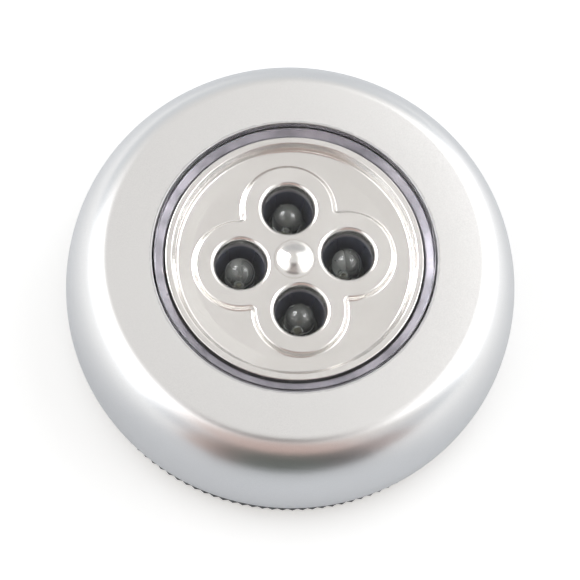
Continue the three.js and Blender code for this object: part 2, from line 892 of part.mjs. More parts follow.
function chassis() {
  const well = turned(
    [
      [0, wellFloorBase],
      [wellRadius + wellWall, wellFloorBase],
      [wellRadius + wellWall, chassisUnder],
      [chassisRadius, chassisUnder],
      [chassisRadius, chassisTop],
      [wellRadius, chassisTop],
      [wellRadius, wellFloorTop],
      [0, wellFloorTop],
    ],
    bodySides,
  );
  const wallTop = chassisUnder + rootOverlap;
  const sideInner = cellCircle + cellRadius + seatGap;
  const endInner = contactFace + contactSheet + seatGap;
  const wallFoot = coverTop + trayWallLift;
  const from = bossCircle * cornerShare + caseScrewHeadRadius + trayEndToScrew;
  const to = cellCircle + cellRadius - trayEndInset;
  const side = box(sideInner, sideInner + trayWall, -traySideHalf, traySideHalf, wallFoot, wallTop);
  const end = box(from, to, endInner, endInner + trayWall, wallFoot, wallTop);
  const farEnd = box(from, to, -endInner - trayWall, -endInner, wallFoot, wallTop);
  const envelope = disc(chassisRadius, wellFloorBase, chassisTop, bodySides);
  const walls = [side, common(end, envelope), common(farEnd, envelope)];
  const ledgeNotches = bayFrames().map((degrees) =>
    arcBlock(
      ledgeInner - runningGap,
      chassisRadius + cutOverrun,
      degrees - ledgeDegrees - ledgeStopDegrees,
      degrees + coverLegDegrees + 2 * ledgeStopDegrees,
      chassisUnder - cutOverrun,
      chassisTop + cutOverrun,
    ),
  );
  const screwHole = discAt(
    bossCircle,
    0,
    caseScrewShankRadius + holeGap,
    chassisUnder - cutOverrun,
    chassisTop + cutOverrun,
    screwSides,
  );
  const slot = box(
    tabInner - holeGap,
    tabInner + tabWidth + holeGap,
    contactFace - holeGap,
    contactFace + contactSheet + holeGap,
    chassisUnder - cutOverrun,
    chassisTop + cutOverrun,
  );
  const farSlot = placed(slot, 0, 0, -2 * contactFace - contactSheet);
  return cut(
    join(well, ...walls.flatMap((wall) => around(bayFrames(), wall))),
    ...ledgeNotches,
    ...around(evenly(cellCount, halfSector), screwHole),
    placed(slot, sector),
    placed(farSlot, 2 * sector),
  );
}

// A cell lies along Y in its bay, with its nub towards +Y
function cell() {
  const foot = cellShift - cellLength / 2;
  const head = foot + cellLength - cellNubLength;
  const grooveLow = head - cellGrooveInset - cellGrooveWidth;
  const geometry = turned(
    [
      [0, foot],
      [cellRadius - cellEdge, foot],
      [cellRadius, foot + cellEdge],
      [cellRadius, grooveLow],
      [cellRadius - cellGrooveDepth, grooveLow + cellGrooveWidth / 2],
      [cellRadius, head - cellGrooveInset],
      [cellRadius, head - cellEdge],
      [cellRadius - cellEdge, head],
      [cellNubRadius, head],
      [cellNubRadius, head + cellNubLength],
      [0, head + cellNubLength],
    ],
    cellSides,
  );
  geometry.rotateX(-Math.PI / 2);
  geometry.translate(cellCircle, 0, cellRise);
  return geometry;
}

// A conical spring between a cell's flat end and the contact behind it
function contactSpringSpan() {
  const cellFoot = cellShift - cellLength / 2;
  return [seatGap, contactFace + cellFoot - seatGap];
}

function contactSpring() {
  const [low, high] = contactSpringSpan();
  const wide = contactSpringWide;
  const geometry = coil(wide, contactSpringNarrow, low, high, contactSpringTurns, contactSpringWire);
  geometry.rotateX(-Math.PI / 2);
  geometry.translate(cellCircle, -contactFace, cellRise);
  return geometry;
}

// A folded strip that bridges two neighbouring cells, pointing along +X before it is turned to its corner
function contactBridge() {
  const half = radians(halfSector);
  const legEnd = (depth, side) => [
    contactOuter * Math.cos(half) + depth * Math.sin(half),
    side * (depth * Math.cos(half) - contactOuter * Math.sin(half)),
  ];
  const fold = (depth) => [depth / Math.sin(half), 0];
  const outside = contactFace + contactSheet;
  const outline = [
    fold(contactFace),
    legEnd(contactFace, 1),
    legEnd(outside, 1),
    fold(outside),
    legEnd(outside, -1),
    legEnd(contactFace, -1),
  ];
  return prism(outline, contactFoot, contactTop);
}

// A terminal strip with a tab that rises through the chassis roof, on one side of its bay or the other
function terminal(side) {
  const outline = [
    [terminalInner, contactFoot],
    [contactOuter, contactFoot],
    [contactOuter, contactTop],
    [tabInner + tabWidth, contactTop],
    [tabInner + tabWidth, tabTop],
    [tabInner, tabTop],
    [tabInner, contactTop],
    [terminalInner, contactTop],
  ];
  const geometry = prism(outline, 0, contactSheet);
  geometry.rotateX(Math.PI / 2);
  const outside = contactFace + contactSheet;
  geometry.translate(0, side > 0 ? outside : -contactFace, 0);
  return geometry;
}

function caseScrew() {
  const head = caseScrewHeadRadius;
  const geometry = screw(head, caseScrewHeadHeight, caseScrewShankRadius, caseScrewLength, chassisUnder);
  return placed(geometry, 0, bossCircle);
}

function boardScrew() {
  const head = boardScrewHeadRadius;
  const geometry = screw(head, boardScrewHeadHeight, boardScrewShankRadius, boardScrewLength, boardUnder);
  return placed(geometry, 0, postCircle);
}

function leadWire(route) {
  const path = new THREE.CatmullRomCurve3(route.map((point) => new THREE.Vector3(...point)));
  return wire(path, wireRadius, wireSides, wireSteps);
}

// The assembly

function mesh(name, geometry, finish) {
  const made = new THREE.Mesh(geometry, new THREE.MeshStandardMaterial(finish));
  made.geometry.computeVertexNormals();
  made.name = name;
  return made;
}

function group(degrees, ...members) {
  const made = new THREE.Group();
  made.rotation.z = radians(degrees);
  made.add(...members);
  return made;
}

function base() {
  return group(
    0,
    mesh("foam_pad", foamPad(), finishes.foam),
    mesh("back_cover", backCover(), finishes.dark),
  );
}

function cellBays() {
  return evenly(cellCount).map((degrees, index) =>
    group(
      degrees,
      mesh(`cell_${index + 1}`, cell(), finishes.cell),
      mesh(`contact_spring_${index + 1}`, contactSpring(), finishes.steel),
    ),
  );
}

function contacts() {
  return [
    group(halfSector, mesh("contact_bridge_1", contactBridge(), finishes.tin)),
    group(-halfSector, mesh("contact_bridge_2", contactBridge(), finishes.tin)),
    group(sector, mesh("contact_positive", terminal(1), finishes.tin)),
    group(2 * sector, mesh("contact_negative", terminal(-1), finishes.tin)),
  ];
}

function caseScrews() {
  return evenly(cellCount, halfSector).map((degrees, index) =>
    group(degrees, mesh(`case_screw_${index + 1}`, caseScrew(), finishes.steel)),
  );
}

function lamps() {
  return evenly(ledCount).map((degrees, index) => {
    const name = `led_${index + 1}`;
    const body = group(
      90,
      mesh(name, lamp(), finishes.epoxy),
      mesh(`${name}_cathode`, lead(1, cathodeHeadWidth), finishes.tin),
      mesh(`${name}_anode`, lead(-1, anodeHeadWidth), finishes.tin),
    );
    body.position.x = cupPitchRadius;
    return group(degrees, body);
  });
}

function pushHead() {
  const chip = placed(resistor(), 0, resistorCircle);
  return group(
    0,
    mesh("lens", lens(), finishes.clear),
    mesh("reflector", reflector(), finishes.metallised),
    mesh("led_board", board(), finishes.board),
    ...lamps(),
    group(resistorTurn, mesh("resistor", chip, finishes.ceramic)),
    mesh("switch_body", switchBody(), finishes.black),
    mesh("switch_spring", switchSpring(), finishes.steel),
    ...postAngles().map((degrees, index) =>
      group(degrees, mesh(`board_screw_${index + 1}`, boardScrew(), finishes.steel)),
    ),
  );
}

const light = group(
  0,
  base(),
  mesh("housing", housing(), finishes.silver),
  mesh("chassis", chassis(), finishes.graphite),
  ...cellBays(),
  ...contacts(),
  ...caseScrews(),
  mesh("wire_red", leadWire(redRoute), finishes.red),
  mesh("wire_black", leadWire(blackRoute), finishes.black),
  pushHead(),
  mesh("switch_plunger", switchPlunger(), finishes.ivory),
);

const [springLow, springHigh] = contactSpringSpan();
const springInset = contactSpringWire / 2;
console.log(
  "least gap between a contact spring's turns, mm:",
  coilGap(
    contactSpringWide,
    contactSpringNarrow,
    springLow + springInset,
    springHigh - springInset,
    contactSpringTurns,
    contactSpringWire,
  ).toFixed(2),
);

export default light;
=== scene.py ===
import math

import bmesh
import bpy
from mathutils import Matrix, Vector


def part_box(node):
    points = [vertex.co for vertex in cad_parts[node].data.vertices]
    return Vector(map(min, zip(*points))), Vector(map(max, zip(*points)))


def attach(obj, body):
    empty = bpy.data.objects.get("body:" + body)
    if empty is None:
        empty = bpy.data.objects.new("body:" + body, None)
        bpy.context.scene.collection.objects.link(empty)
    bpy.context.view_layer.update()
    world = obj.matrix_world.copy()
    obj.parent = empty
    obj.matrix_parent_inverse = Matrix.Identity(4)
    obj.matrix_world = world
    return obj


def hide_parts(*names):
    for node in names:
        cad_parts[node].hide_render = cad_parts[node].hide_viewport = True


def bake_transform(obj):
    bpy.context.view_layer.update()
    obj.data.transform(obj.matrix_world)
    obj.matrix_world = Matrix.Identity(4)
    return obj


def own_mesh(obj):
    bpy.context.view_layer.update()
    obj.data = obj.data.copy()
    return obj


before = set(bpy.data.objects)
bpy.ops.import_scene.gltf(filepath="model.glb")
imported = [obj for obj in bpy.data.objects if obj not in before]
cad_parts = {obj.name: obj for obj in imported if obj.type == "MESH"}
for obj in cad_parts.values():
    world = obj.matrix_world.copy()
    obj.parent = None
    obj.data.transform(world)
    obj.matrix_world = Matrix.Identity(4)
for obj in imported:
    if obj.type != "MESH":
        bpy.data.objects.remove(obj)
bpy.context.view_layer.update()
mm = 0.001
upAxis = Vector((0, 0, 1))
white = (1, 1, 1, 1)
scene = bpy.context.scene
print("frame loaded:", len(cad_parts), "nodes")


# Helpers for objects, nodes and materials

def newObject(name, data):
    thing = bpy.data.objects.new(name, data)
    scene.collection.objects.link(thing)
    return thing


def meshObject(name, bm):
    mesh = bpy.data.meshes.new(name)
    bm.to_mesh(mesh)
    bm.free()
    return newObject(name, mesh)


# The mesh that an object shows, with its modifiers or its curve worked out
def shownMesh(thing):
    scene.view_layers[0].update()
    return bpy.data.meshes.new_from_object(thing.evaluated_get(bpy.context.evaluated_depsgraph_get()))


# Sets a node's inputs by name or number: a socket is linked, and anything else is a value
def feed(tree, node, inputs):
    for label, value in inputs.items():
        if isinstance(value, bpy.types.NodeSocket):
            tree.links.new(value, node.inputs[label])
        else:
            node.inputs[label].default_value = value


def addNode(tree, kind, inputs=None, **properties):
    node = tree.nodes.new("ShaderNode" + kind)
    for label, value in properties.items():
        setattr(node, label, value)
    feed(tree, node, inputs or {})
    return node


def mathNode(tree, operation, *values):
    return addNode(tree, "Math", dict(enumerate(values)), operation=operation).outputs[0]


def vectorNode(tree, operation, inputs, output=0):
    return addNode(tree, "VectorMath", inputs, operation=operation).outputs[output]


# Turns one range of a value into another, each given as its two ends
def mapRange(tree, value, start=(0, 1), end=(0, 1)):
    ends = {"From Min": start[0], "From Max": start[1], "To Min": end[0], "To Max": end[1]}
    return addNode(tree, "MapRange", {"Value": value, **ends}).outputs["Result"]


def mixColours(tree, mask, first, second):
    return addNode(tree, "Mix", {"Factor": mask, 6: first, 7: second}, data_type="RGBA").outputs[2]


def newMaterial(name, inputs):
    material = bpy.data.materials.new(name)
    material.use_nodes = True
    tree = material.node_tree
    shader = tree.nodes["Principled BSDF"]
    feed(tree, shader, inputs)
    return material, tree, shader


# Camera, at the photograph's angle

cameraSettings = {
    "turn": -14.3,                          # degrees from looking along +Y
    "elevation": 70,
    "distance": 428.6 * mm,
    "lens": 159.6,
    "nearest": 10 * mm,
    "roll": 8.3,
    "target": Vector((0, 0, 12.6 * mm)),
    "aimDown": 1.33 * mm,                   # the picture's middle lies this far below the target
    "aimLeft": 0.2 * mm,
}


def addCamera(settings):
    turn = math.radians(settings["turn"])
    rise = math.radians(settings["elevation"])
    roll = math.radians(settings["roll"])
    back = Vector((math.sin(turn) * math.cos(rise), -math.cos(turn) * math.cos(rise), math.sin(rise)))
    level = upAxis.cross(back).normalized()
    up = back.cross(level)
    across = math.cos(roll) * level + math.sin(roll) * up
    upward = math.cos(roll) * up - math.sin(roll) * level
    place = settings["target"] + back * settings["distance"]
    aim = settings["target"] - upward * settings["aimDown"] - across * settings["aimLeft"]
    behind = (place - aim).normalized()
    across = (across - behind * across.dot(behind)).normalized()
    upward = behind.cross(across)
    data = bpy.data.cameras.new("camera")
    data.lens = settings["lens"]
    data.clip_start = settings["nearest"]
    camera = newObject("camera", data)
    camera.matrix_world = Matrix.Translation(place) @ Matrix((across, upward, behind)).transposed().to_4x4()
    scene.camera = camera
    return Vector((math.sin(turn), -math.cos(turn), 0)), level


towardsCamera, cameraRight = addCamera(cameraSettings)
print("camera placed")


# Stage: a pale floor, a white surround, soft boxes at both sides and cards behind the camera

stageSettings = {
    "roughness": 0.9,                       # of the floor and the cards
    "floorShine": 0.1,
    "floorRadius": 4,
    "floorHole": 26 * mm,                   # under the pad, so that light from below reaches it
    "floorSegments": 64,
    "floorColour": (0.84, 0.87, 0.91, 1),
    "floorLift": (0.38, 0.36, 0.33, 1),     # light that only the camera and reflections see: a white floor
    "liftStart": 38 * mm,                   # sideways from the middle, reflections see it from here
    "liftEnd": 85 * mm,                     # and in full from here
    "cardLift": 1 * mm,                     # of the cards, above the floor
    "fillLevel": 0.45,                      # the surround as a light
    "backgroundLevel": 1,                   # the surround as seen and mirrored
    "zenithColour": (0.85, 0.83, 0.805, 1),
    "horizonColour": (0.74, 0.78, 0.82, 1),
    "horizonEnd": 0.1,                      # a direction's height where the horizon's colour ends
    "zenithStart": 0.7,                     # and where the zenith's colour begins
}

softboxes = {
    # name: turn from the camera's side, elevation, distance, width, height, radiance
    "leftBox": (-80, 34, 0.9, 1.26, 1.2, 1.15),
    "rightBox": (114, 34, 0.9, 1.3, 1.35, 1.25),
}

glints = {
    # small lamps that only the clear pieces catch
    "leftGlint": (-116, 44, 0.8, 0.42, 0.42, 9),
    "rightGlint": (108, 52, 0.8, 0.34, 0.34, 7),
}

cards = {
    # name: (distance, height, left edge, right edge) at the foot and at the top, colour
    "lowCard": ((0.078, 0, -0.014, 0.028), (0.6, 0.22, -0.11, 0.22), (0.024, 0.042, 0.028, 1)),
    "lowLeftCard": ((0.078, 0, -0.026, -0.014), (0.6, 0.22, -0.2, -0.11), (0.18, 0.11, 0.09, 1)),
    "lowRightCard": ((0.078, 0, 0.028, 0.06), (0.6, 0.22, 0.22, 0.43), (0.04, 0.033, 0.031, 1)),
    "leftCard": ((0.09, 0, -0.05, -0.03), (0.6, 0.22, -0.3, -0.2), (0.6, 0.42, 0.36, 1)),
    "rightCard": ((0.09, 0, 0.063, 0.12), (0.6, 0.33, 0.4, 0.66), (0.5, 0.39, 0.37, 1)),
    "middleCard": ((0.6, 0.22, -0.22, 0.42), (0.44, 0.66, -0.35, 0.3), (0.74, 0.51, 0.44, 1)),
    "upperCard": ((0.26, 0.46, -0.13, 0.13), (0.09, 0.52, -0.13, 0.13), (0.2, 0.15, 0.14, 1)),
}


def stageObject(name, bm, colour):
    thing = meshObject(name, bm)
    inputs = {"Base Color": colour, "Roughness": stageSettings["roughness"]}
    material, tree, shader = newMaterial(name, inputs)
    thing.data.materials.append(material)
    return thing, tree, shader


def addWorld(settings):
    world = bpy.data.worlds.new("surround")
    world.use_nodes = True
    scene.world = world
    tree = world.node_tree
    path = addNode(tree, "LightPath").outputs
    seen = path["Is Camera Ray"]
    for ray in ("Is Glossy Ray", "Is Transmission Ray"):
        seen = mathNode(tree, "MAXIMUM", seen, path[ray])
    level = mapRange(tree, seen, end=(settings["fillLevel"], settings["backgroundLevel"]))
    direction = addNode(tree, "TexCoord").outputs["Generated"]
    height = addNode(tree, "SeparateXYZ", {0: direction}).outputs["Z"]
    rise = mapRange(tree, height, (settings["horizonEnd"], settings["zenithStart"]))
    sky = mixColours(tree, rise, settings["horizonColour"], settings["zenithColour"])
    shown = mixColours(tree, path["Is Camera Ray"], sky, white)
    feed(tree, tree.nodes["Background"], {"Color": shown, "Strength": level})


# The floor is seen from above only, so that it doesn't hide the object's back from below
def addFloor(settings):
    bm = bmesh.new()
    for radius in (settings["floorHole"], settings["floorRadius"]):
        bmesh.ops.create_circle(bm, cap_ends=False, segments=settings["floorSegments"], radius=radius)
    bmesh.ops.bridge_loops(bm, edges=bm.edges)
    bm.normal_update()
    bmesh.ops.reverse_faces(bm, faces=[face for face in bm.faces if face.normal.z < 0])
    floor, tree, paper = stageObject("floor", bm, settings["floorColour"])
    feed(tree, paper, {"Specular IOR Level": settings["floorShine"]})
    path = addNode(tree, "LightPath").outputs
    place = addNode(tree, "TexCoord").outputs["Object"]
    sideways = vectorNode(tree, "DOT_PRODUCT", {0: place, 1: cameraRight}, "Value")
    away = mapRange(tree, mathNode(tree, "ABSOLUTE", sideways), (settings["liftStart"], settings["liftEnd"]))
    mirrored = mathNode(tree, "MULTIPLY", path["Is Glossy Ray"], away)
    seen = mathNode(tree, "MAXIMUM", path["Is Camera Ray"], mirrored)
    glow = addNode(tree, "Emission", {"Color": settings["floorLift"], "Strength": seen})
    both = addNode(tree, "AddShader", {0: paper.outputs["BSDF"], 1: glow.outputs["Emission"]})
    back = addNode(tree, "NewGeometry").outputs["Backfacing"]
    clear = addNode(tree, "BsdfTransparent").outputs["BSDF"]
    oneSided = addNode(tree, "MixShader", {"Fac": back, 1: both.outputs["Shader"], 2: clear})
    feed(tree, tree.nodes["Material Output"], {"Surface": oneSided.outputs["Shader"]})


def addCard(name, foot, top, colour):
    bm = bmesh.new()
    corners = []
    for distance, height, left, right in (foot, top):
        middle = towardsCamera * distance + upAxis * (height + stageSettings["cardLift"])
        corners += [bm.verts.new(middle + cameraRight * edge) for edge in (left, right)]
    bm.faces.new((corners[0], corners[1], corners[3], corners[2]))
    card = stageObject(name, bm, colour)[0]
    card.visible_camera = False
    card.visible_diffuse = False
    card.visible_shadow = False


def addSoftbox(name, turn, elevation, distance, width, height, radiance):
    data = bpy.data.lights.new(name, "AREA")
    data.shape = "RECTANGLE"
    data.size = width
    data.size_y = height
    data.energy = radiance * math.pi * width * height
    angle, rise = math.radians(turn), math.radians(elevation)
    level = towardsCamera * math.cos(angle) + cameraRight * math.sin(angle)
    place = (level * math.cos(rise) + upAxis * math.sin(rise)) * distance
    box = newObject(name, data)
    box.matrix_world = Matrix.Translation(place) @ place.to_track_quat("Z", "Y").to_matrix().to_4x4()
    box.visible_camera = False
    return box


scene.view_settings.view_transform = "Standard"
addWorld(stageSettings)
addFloor(stageSettings)
for cardName, cardValues in cards.items():
    addCard(cardName, *cardValues)
for boxName, boxValues in softboxes.items():
    addSoftbox(boxName, *boxValues)
clearPieces = bpy.data.collections.new("clearPieces")
for boxName, boxValues in glints.items():
    addSoftbox(boxName, *boxValues).light_linking.receiver_collection = clearPieces
print("stage lit")


# Shared effects, as node groups

effectSettings = {
    "grainNoise": {"Detail": 3},
    "patchNoise": {"Detail": 5, "Roughness": 0.6},
    "patchEnds": (0.32, 0.68),              # of the noise, between which one patch turns into the next
    "wearNoise": {"Detail": 4},
    "wearLimit": 0.9,                       # closeness and noise together at which wear begins
    "wearBlend": 0.25,                      # and how much more makes it whole
    "cellMiddle": (0.5, 0.5, 0.5),
}


def newGroup(name, inputs, outputs):
    group = bpy.data.node_groups.new(name, "ShaderNodeTree")
    for label in inputs:
        group.interface.new_socket(name=label, in_out="INPUT", socket_type="NodeSocketFloat")
    for label in outputs:
        kind = "NodeSocketVector" if label == "Normal" else "NodeSocketFloat"
        group.interface.new_socket(name=label, in_out="OUTPUT", socket_type=kind)
    return group, group.nodes.new("NodeGroupInput").outputs, group.nodes.new("NodeGroupOutput")


def addNoise(tree, scale, settings):
    place = addNode(tree, "TexCoord").outputs["Object"]
    return addNode(tree, "TexNoise", {"Vector": place, "Scale": scale, **settings}).outputs["Fac"]


def hypotenuse(tree, first, second):
    squares = [mathNode(tree, "MULTIPLY", side, side) for side in (first, second)]
    return mathNode(tree, "SQRT", mathNode(tree, "ADD", *squares))


# A point's distance from the light's axis, and its height
def radiusAndHeight(tree):
    place = addNode(tree, "TexCoord").outputs["Object"]
    split = addNode(tree, "SeparateXYZ", {0: place}).outputs
    return hypotenuse(tree, split["X"], split["Y"]), split["Z"]


# Metal flake in paint: each small cell has its own brightness and tilts the normal its own way
def makePaintFlake():
    group, source, result = newGroup("paintFlake", ("Scale", "Tilt"), ("Sparkle", "Normal"))
    place = addNode(group, "TexCoord").outputs["Object"]
    cells = addNode(group, "TexVoronoi", {"Vector": place, "Scale": source["Scale"]}).outputs["Color"]
    centred = vectorNode(group, "SUBTRACT", {0: cells, 1: effectSettings["cellMiddle"]})
    tilt = vectorNode(group, "SCALE", {0: centred, "Scale": source["Tilt"]})
    normal = addNode(group, "NewGeometry").outputs["Normal"]
    leaned = vectorNode(group, "NORMALIZE", {0: vectorNode(group, "ADD", {0: normal, 1: tilt})})
    brightness = addNode(group, "SeparateColor", {"Color": cells}).outputs["Red"]
    feed(group, result, {"Sparkle": brightness, "Normal": leaned})
    return group


# Moulded or cast grain: a fine uneven surface, as a height and as the normal that it gives
def makeFineGrain():
    group, source, result = newGroup("fineGrain", ("Scale", "Depth"), ("Height", "Normal"))
    height = addNoise(group, source["Scale"], effectSettings["grainNoise"])
    bump = addNode(group, "Bump", {"Strength": 1, "Distance": source["Depth"], "Height": height})
    feed(group, result, {"Height": height, "Normal": bump.outputs["Normal"]})
    return group


# Uneven gloss from handling: slow patches between two values, broken by a finer mottle
def makeHandling():
    group, source, result = newGroup("handling", ("Scale", "Low", "High"), ("Value", "Mask"))
    noise = addNoise(group, source["Scale"], effectSettings["patchNoise"])
    mask = mapRange(group, noise, effectSettings["patchEnds"])
    value = mapRange(group, mask, end=(source["Low"], source["High"]))
    feed(group, result, {"Value": value, "Mask": mask})
    return group


# Wear along a turned edge: a ring round the light's axis at one radius and height, broken by noise
def makeEdgeWear():
    group, source, result = newGroup("edgeWear", ("Radius", "Height", "Reach", "Scale"), ("Mask",))
    radius, height = radiusAndHeight(group)
    outwards = mathNode(group, "SUBTRACT", radius, source["Radius"])
    upwards = mathNode(group, "SUBTRACT", height, source["Height"])
    apart = mathNode(group, "DIVIDE", hypotenuse(group, outwards, upwards), source["Reach"])
    noise = addNoise(group, source["Scale"], effectSettings["wearNoise"])
    closeness = mathNode(group, "ADD", mathNode(group, "SUBTRACT", 1, apart), noise)
    broken = mathNode(group, "SUBTRACT", closeness, effectSettings["wearLimit"])
    feed(group, result, {"Mask": mapRange(group, broken, (0, effectSettings["wearBlend"]))})
    return group


# How far down a bore a point lies, the mask for painted shade in the bores: 1 below Low, 0 above High, and 0
# outside Radius
def makeDepthFade():
    group, source, result = newGroup("depthFade", ("High", "Low", "Radius"), ("Mask",))
    radius, height = radiusAndHeight(group)
    within = mathNode(group, "LESS_THAN", radius, source["Radius"])
    depth = mapRange(group, height, (source["Low"], source["High"]), (1, 0))
    feed(group, result, {"Mask": mathNode(group, "MULTIPLY", within, depth)})
    return group


paintFlake = makePaintFlake()
depthFade = makeDepthFade()
fineGrain = makeFineGrain()
handling = makeHandling()
edgeWear = makeEdgeWear()
print("shared effects made")


# Materials

def placeGroup(tree, group, **values):
    return addNode(tree, "Group", values, node_tree=group).outputs


def addGloss(tree, settings):
    low, high = settings["gloss"]
    return placeGroup(tree, handling, Scale=settings["patchScale"], Low=low, High=high)


def silverPaint(name, settings):
    material, tree, shader = newMaterial(name, {"Metallic": settings["metallic"]})
    flake = placeGroup(tree, paintFlake, Scale=settings["flakeScale"], Tilt=settings["flakeTilt"])
    gloss = addGloss(tree, settings)
    wear = placeGroup(
        tree, edgeWear, Radius=settings["wearRadius"], Height=settings["wearHeight"],
        Reach=settings["wearReach"], Scale=settings["wearScale"],
    )
    sparkle = mixColours(tree, flake["Sparkle"], settings["darkFlake"], settings["brightFlake"])
    toned = mixColours(tree, gloss["Mask"], sparkle, settings["patchColour"])
    worn = mixColours(tree, wear["Mask"], toned, settings["wornColour"])
    feed(tree, shader, {"Base Color": worn, "Roughness": gloss["Value"], "Normal": flake["Normal"]})
    return material


# Shadow rays pass straight through, so lamps outside reach what stands behind
def clearPlastic(name, settings):
    material, tree, shader = newMaterial(name, {
        "Base Color": settings["colour"],
        "Metallic": 0,
        "Transmission Weight": settings["transmission"],
        "IOR": settings["ior"],
    })
    feed(tree, shader, {"Roughness": addGloss(tree, settings)["Value"]})
    shadow = addNode(tree, "LightPath").outputs["Is Shadow Ray"]
    clear = addNode(tree, "BsdfTransparent", {"Color": settings["shadowTint"]}).outputs["BSDF"]
    mixed = addNode(tree, "MixShader", {"Fac": shadow, 1: shader.outputs["BSDF"], 2: clear})
    feed(tree, tree.nodes["Material Output"], {"Surface": mixed.outputs["Shader"]})
    return material


# A metal changes its tone in patches, and a plastic with its grain
def grained(name, settings, metallic):
    material, tree, shader = newMaterial(name, {"Metallic": metallic})
    gloss = addGloss(tree, settings)
    grain = placeGroup(tree, fineGrain, Scale=settings["grainScale"], Depth=settings["grainDepth"])
    mask = gloss["Mask"] if metallic else grain["Height"]
    colour = mixColours(tree, mask, settings["colour"], settings["patchColour"])
    feed(tree, shader, {"Base Color": colour, "Roughness": gloss["Value"], "Normal": grain["Normal"]})
    return material


# A bright vapour coat, with painted shade down in the bores: there the colour turns to a dark bluish one and
# most of the metal look goes
def metallisedWithBoreShade(name, settings):
    material = grained(name, settings, metallic=1)
    tree = material.node_tree
    shader = tree.nodes["Principled BSDF"]
    bright = shader.inputs["Base Color"].links[0].from_socket
    high, low, radius = settings["fadeHigh"], settings["fadeLow"], settings["fadeRadius"]
    # Painted shade down the bores, darker towards the bottom
    fade = placeGroup(tree, depthFade, High=high, Low=low, Radius=radius)["Mask"]
    boreShaded = mixColours(tree, fade, bright, settings["boreShadeColour"])
    metalLoss = mathNode(tree, "MULTIPLY", fade, settings["boreShadeMetalLoss"])
    feed(tree, shader, {"Base Color": boreShaded, "Metallic": mathNode(tree, "SUBTRACT", 1, metalLoss)})
    return material


silverSettings = {
    "metallic": 0.9,
    "flakeScale": 9000,
    "flakeTilt": 0.03,
    "darkFlake": (0.72, 0.72, 0.725, 1),
    "brightFlake": (0.78, 0.78, 0.78, 1),
    "patchColour": (0.74, 0.74, 0.74, 1),
    "patchScale": 45,
    "gloss": (0.29, 0.32),
    "wearRadius": 23.4 * mm,
    "wearHeight": 25.5 * mm,
    "wearReach": 0.45 * mm,
    "wearScale": 700,
    "wornColour": (0.6, 0.6, 0.61, 1),
}

lensGlass = {
    "colour": (0.95, 0.95, 0.957, 1),
    "transmission": 1,
    "ior": 1.25,
    "patchScale": 90,
    "gloss": (0.0, 0.015),
    "shadowTint": (0.9, 0.9, 0.92, 1),
}

# The lens's clear skirt is drawn opaque: its violet grey, darker in patches, is a painted reflection of the
# dark gap round the lens
skirtSettings = {
    "metallic": 0.5,
    "colour": (0.34, 0.325, 0.36, 1),
    "patchColour": (0.14, 0.135, 0.155, 1),
    "patchScale": 150,
    "gloss": (0.27, 0.4),
    "grainScale": 700,
    "grainDepth": 0.01 * mm,
}

epoxyGlass = {
    "colour": (0.46, 0.49, 0.45, 1),
    "transmission": 0.93,
    "ior": 1.53,
    "patchScale": 300,
    "gloss": (0.02, 0.05),
    "shadowTint": (0.75, 0.78, 0.74, 1),
}

metallisedSettings = {
    "colour": (0.715, 0.7, 0.675, 1),
    "patchColour": (0.685, 0.67, 0.645, 1),
    "patchScale": 120,
    "gloss": (0.21, 0.27),
    "grainScale": 260,
    "grainDepth": 0.003 * mm,
    # Painted shade in the bores: from fadeHigh down to fadeLow, inside fadeRadius, the metal turns to the
    # dark bluish bore colour
    "fadeHigh": 22.55 * mm,
    "fadeLow": 20.6 * mm,
    "fadeRadius": 16 * mm,
    "boreShadeColour": (0.05, 0.055, 0.08, 1),
    "boreShadeMetalLoss": 0.85,                   # how much of the metal look the painted bore shade takes away
}

finishKeys = ("colour", "patchColour", "patchScale", "gloss", "grainScale", "grainDepth")

# Each finish's values stand in the order of the keys above
metalFinishes = {
    "tinned": ((0.74, 0.75, 0.76, 1), (0.62, 0.63, 0.64, 1), 500, (0.22, 0.36), 1800, 0.01 * mm),
    "springSteel": ((0.64, 0.65, 0.67, 1), (0.52, 0.53, 0.55, 1), 700, (0.18, 0.3), 2400, 0.006 * mm),
    "screwSteel": ((0.52, 0.53, 0.55, 1), (0.42, 0.42, 0.43, 1), 400, (0.24, 0.4), 1500, 0.01 * mm),
    "cellJacket": ((0.34, 0.36, 0.4, 1), (0.3, 0.31, 0.34, 1), 150, (0.22, 0.32), 900, 0.01 * mm),
}

plasticFinishes = {
    "coverPlastic": ((0.03, 0.032, 0.036, 1), (0.05, 0.052, 0.056, 1), 120, (0.42, 0.55), 3200, 0.02 * mm),
    "chassisPlastic": ((0.1, 0.105, 0.105, 1), (0.07, 0.075, 0.075, 1), 90, (0.5, 0.62), 2600, 0.02 * mm),
    "switchPlastic": ((0.035, 0.035, 0.04, 1), (0.05, 0.05, 0.055, 1), 260, (0.38, 0.5), 3600, 0.01 * mm),
    "plungerPlastic": ((0.8, 0.76, 0.66, 1), (0.74, 0.7, 0.6, 1), 500, (0.3, 0.42), 3000, 0.008 * mm),
    "boardMask": ((0.02, 0.028, 0.024, 1), (0.03, 0.04, 0.034, 1), 300, (0.26, 0.38), 2200, 0.012 * mm),
    "chipGlaze": ((0.05, 0.05, 0.06, 1), (0.07, 0.07, 0.08, 1), 700, (0.3, 0.42), 4000, 0.008 * mm),
    "redSleeve": ((0.5, 0.03, 0.03, 1), (0.42, 0.025, 0.025, 1), 400, (0.34, 0.46), 2000, 0.01 * mm),
    "blackSleeve": ((0.025, 0.025, 0.028, 1), (0.04, 0.04, 0.042, 1), 400, (0.34, 0.46), 2000, 0.01 * mm),
    "padFoam": ((0.86, 0.85, 0.8, 1), (0.7, 0.69, 0.64, 1), 200, (0.85, 0.95), 2600, 0.12 * mm),
    "phosphor": ((0.3, 0.28, 0.21, 1), (0.25, 0.23, 0.17, 1), 900, (0.6, 0.7), 4000, 0.01 * mm),
}

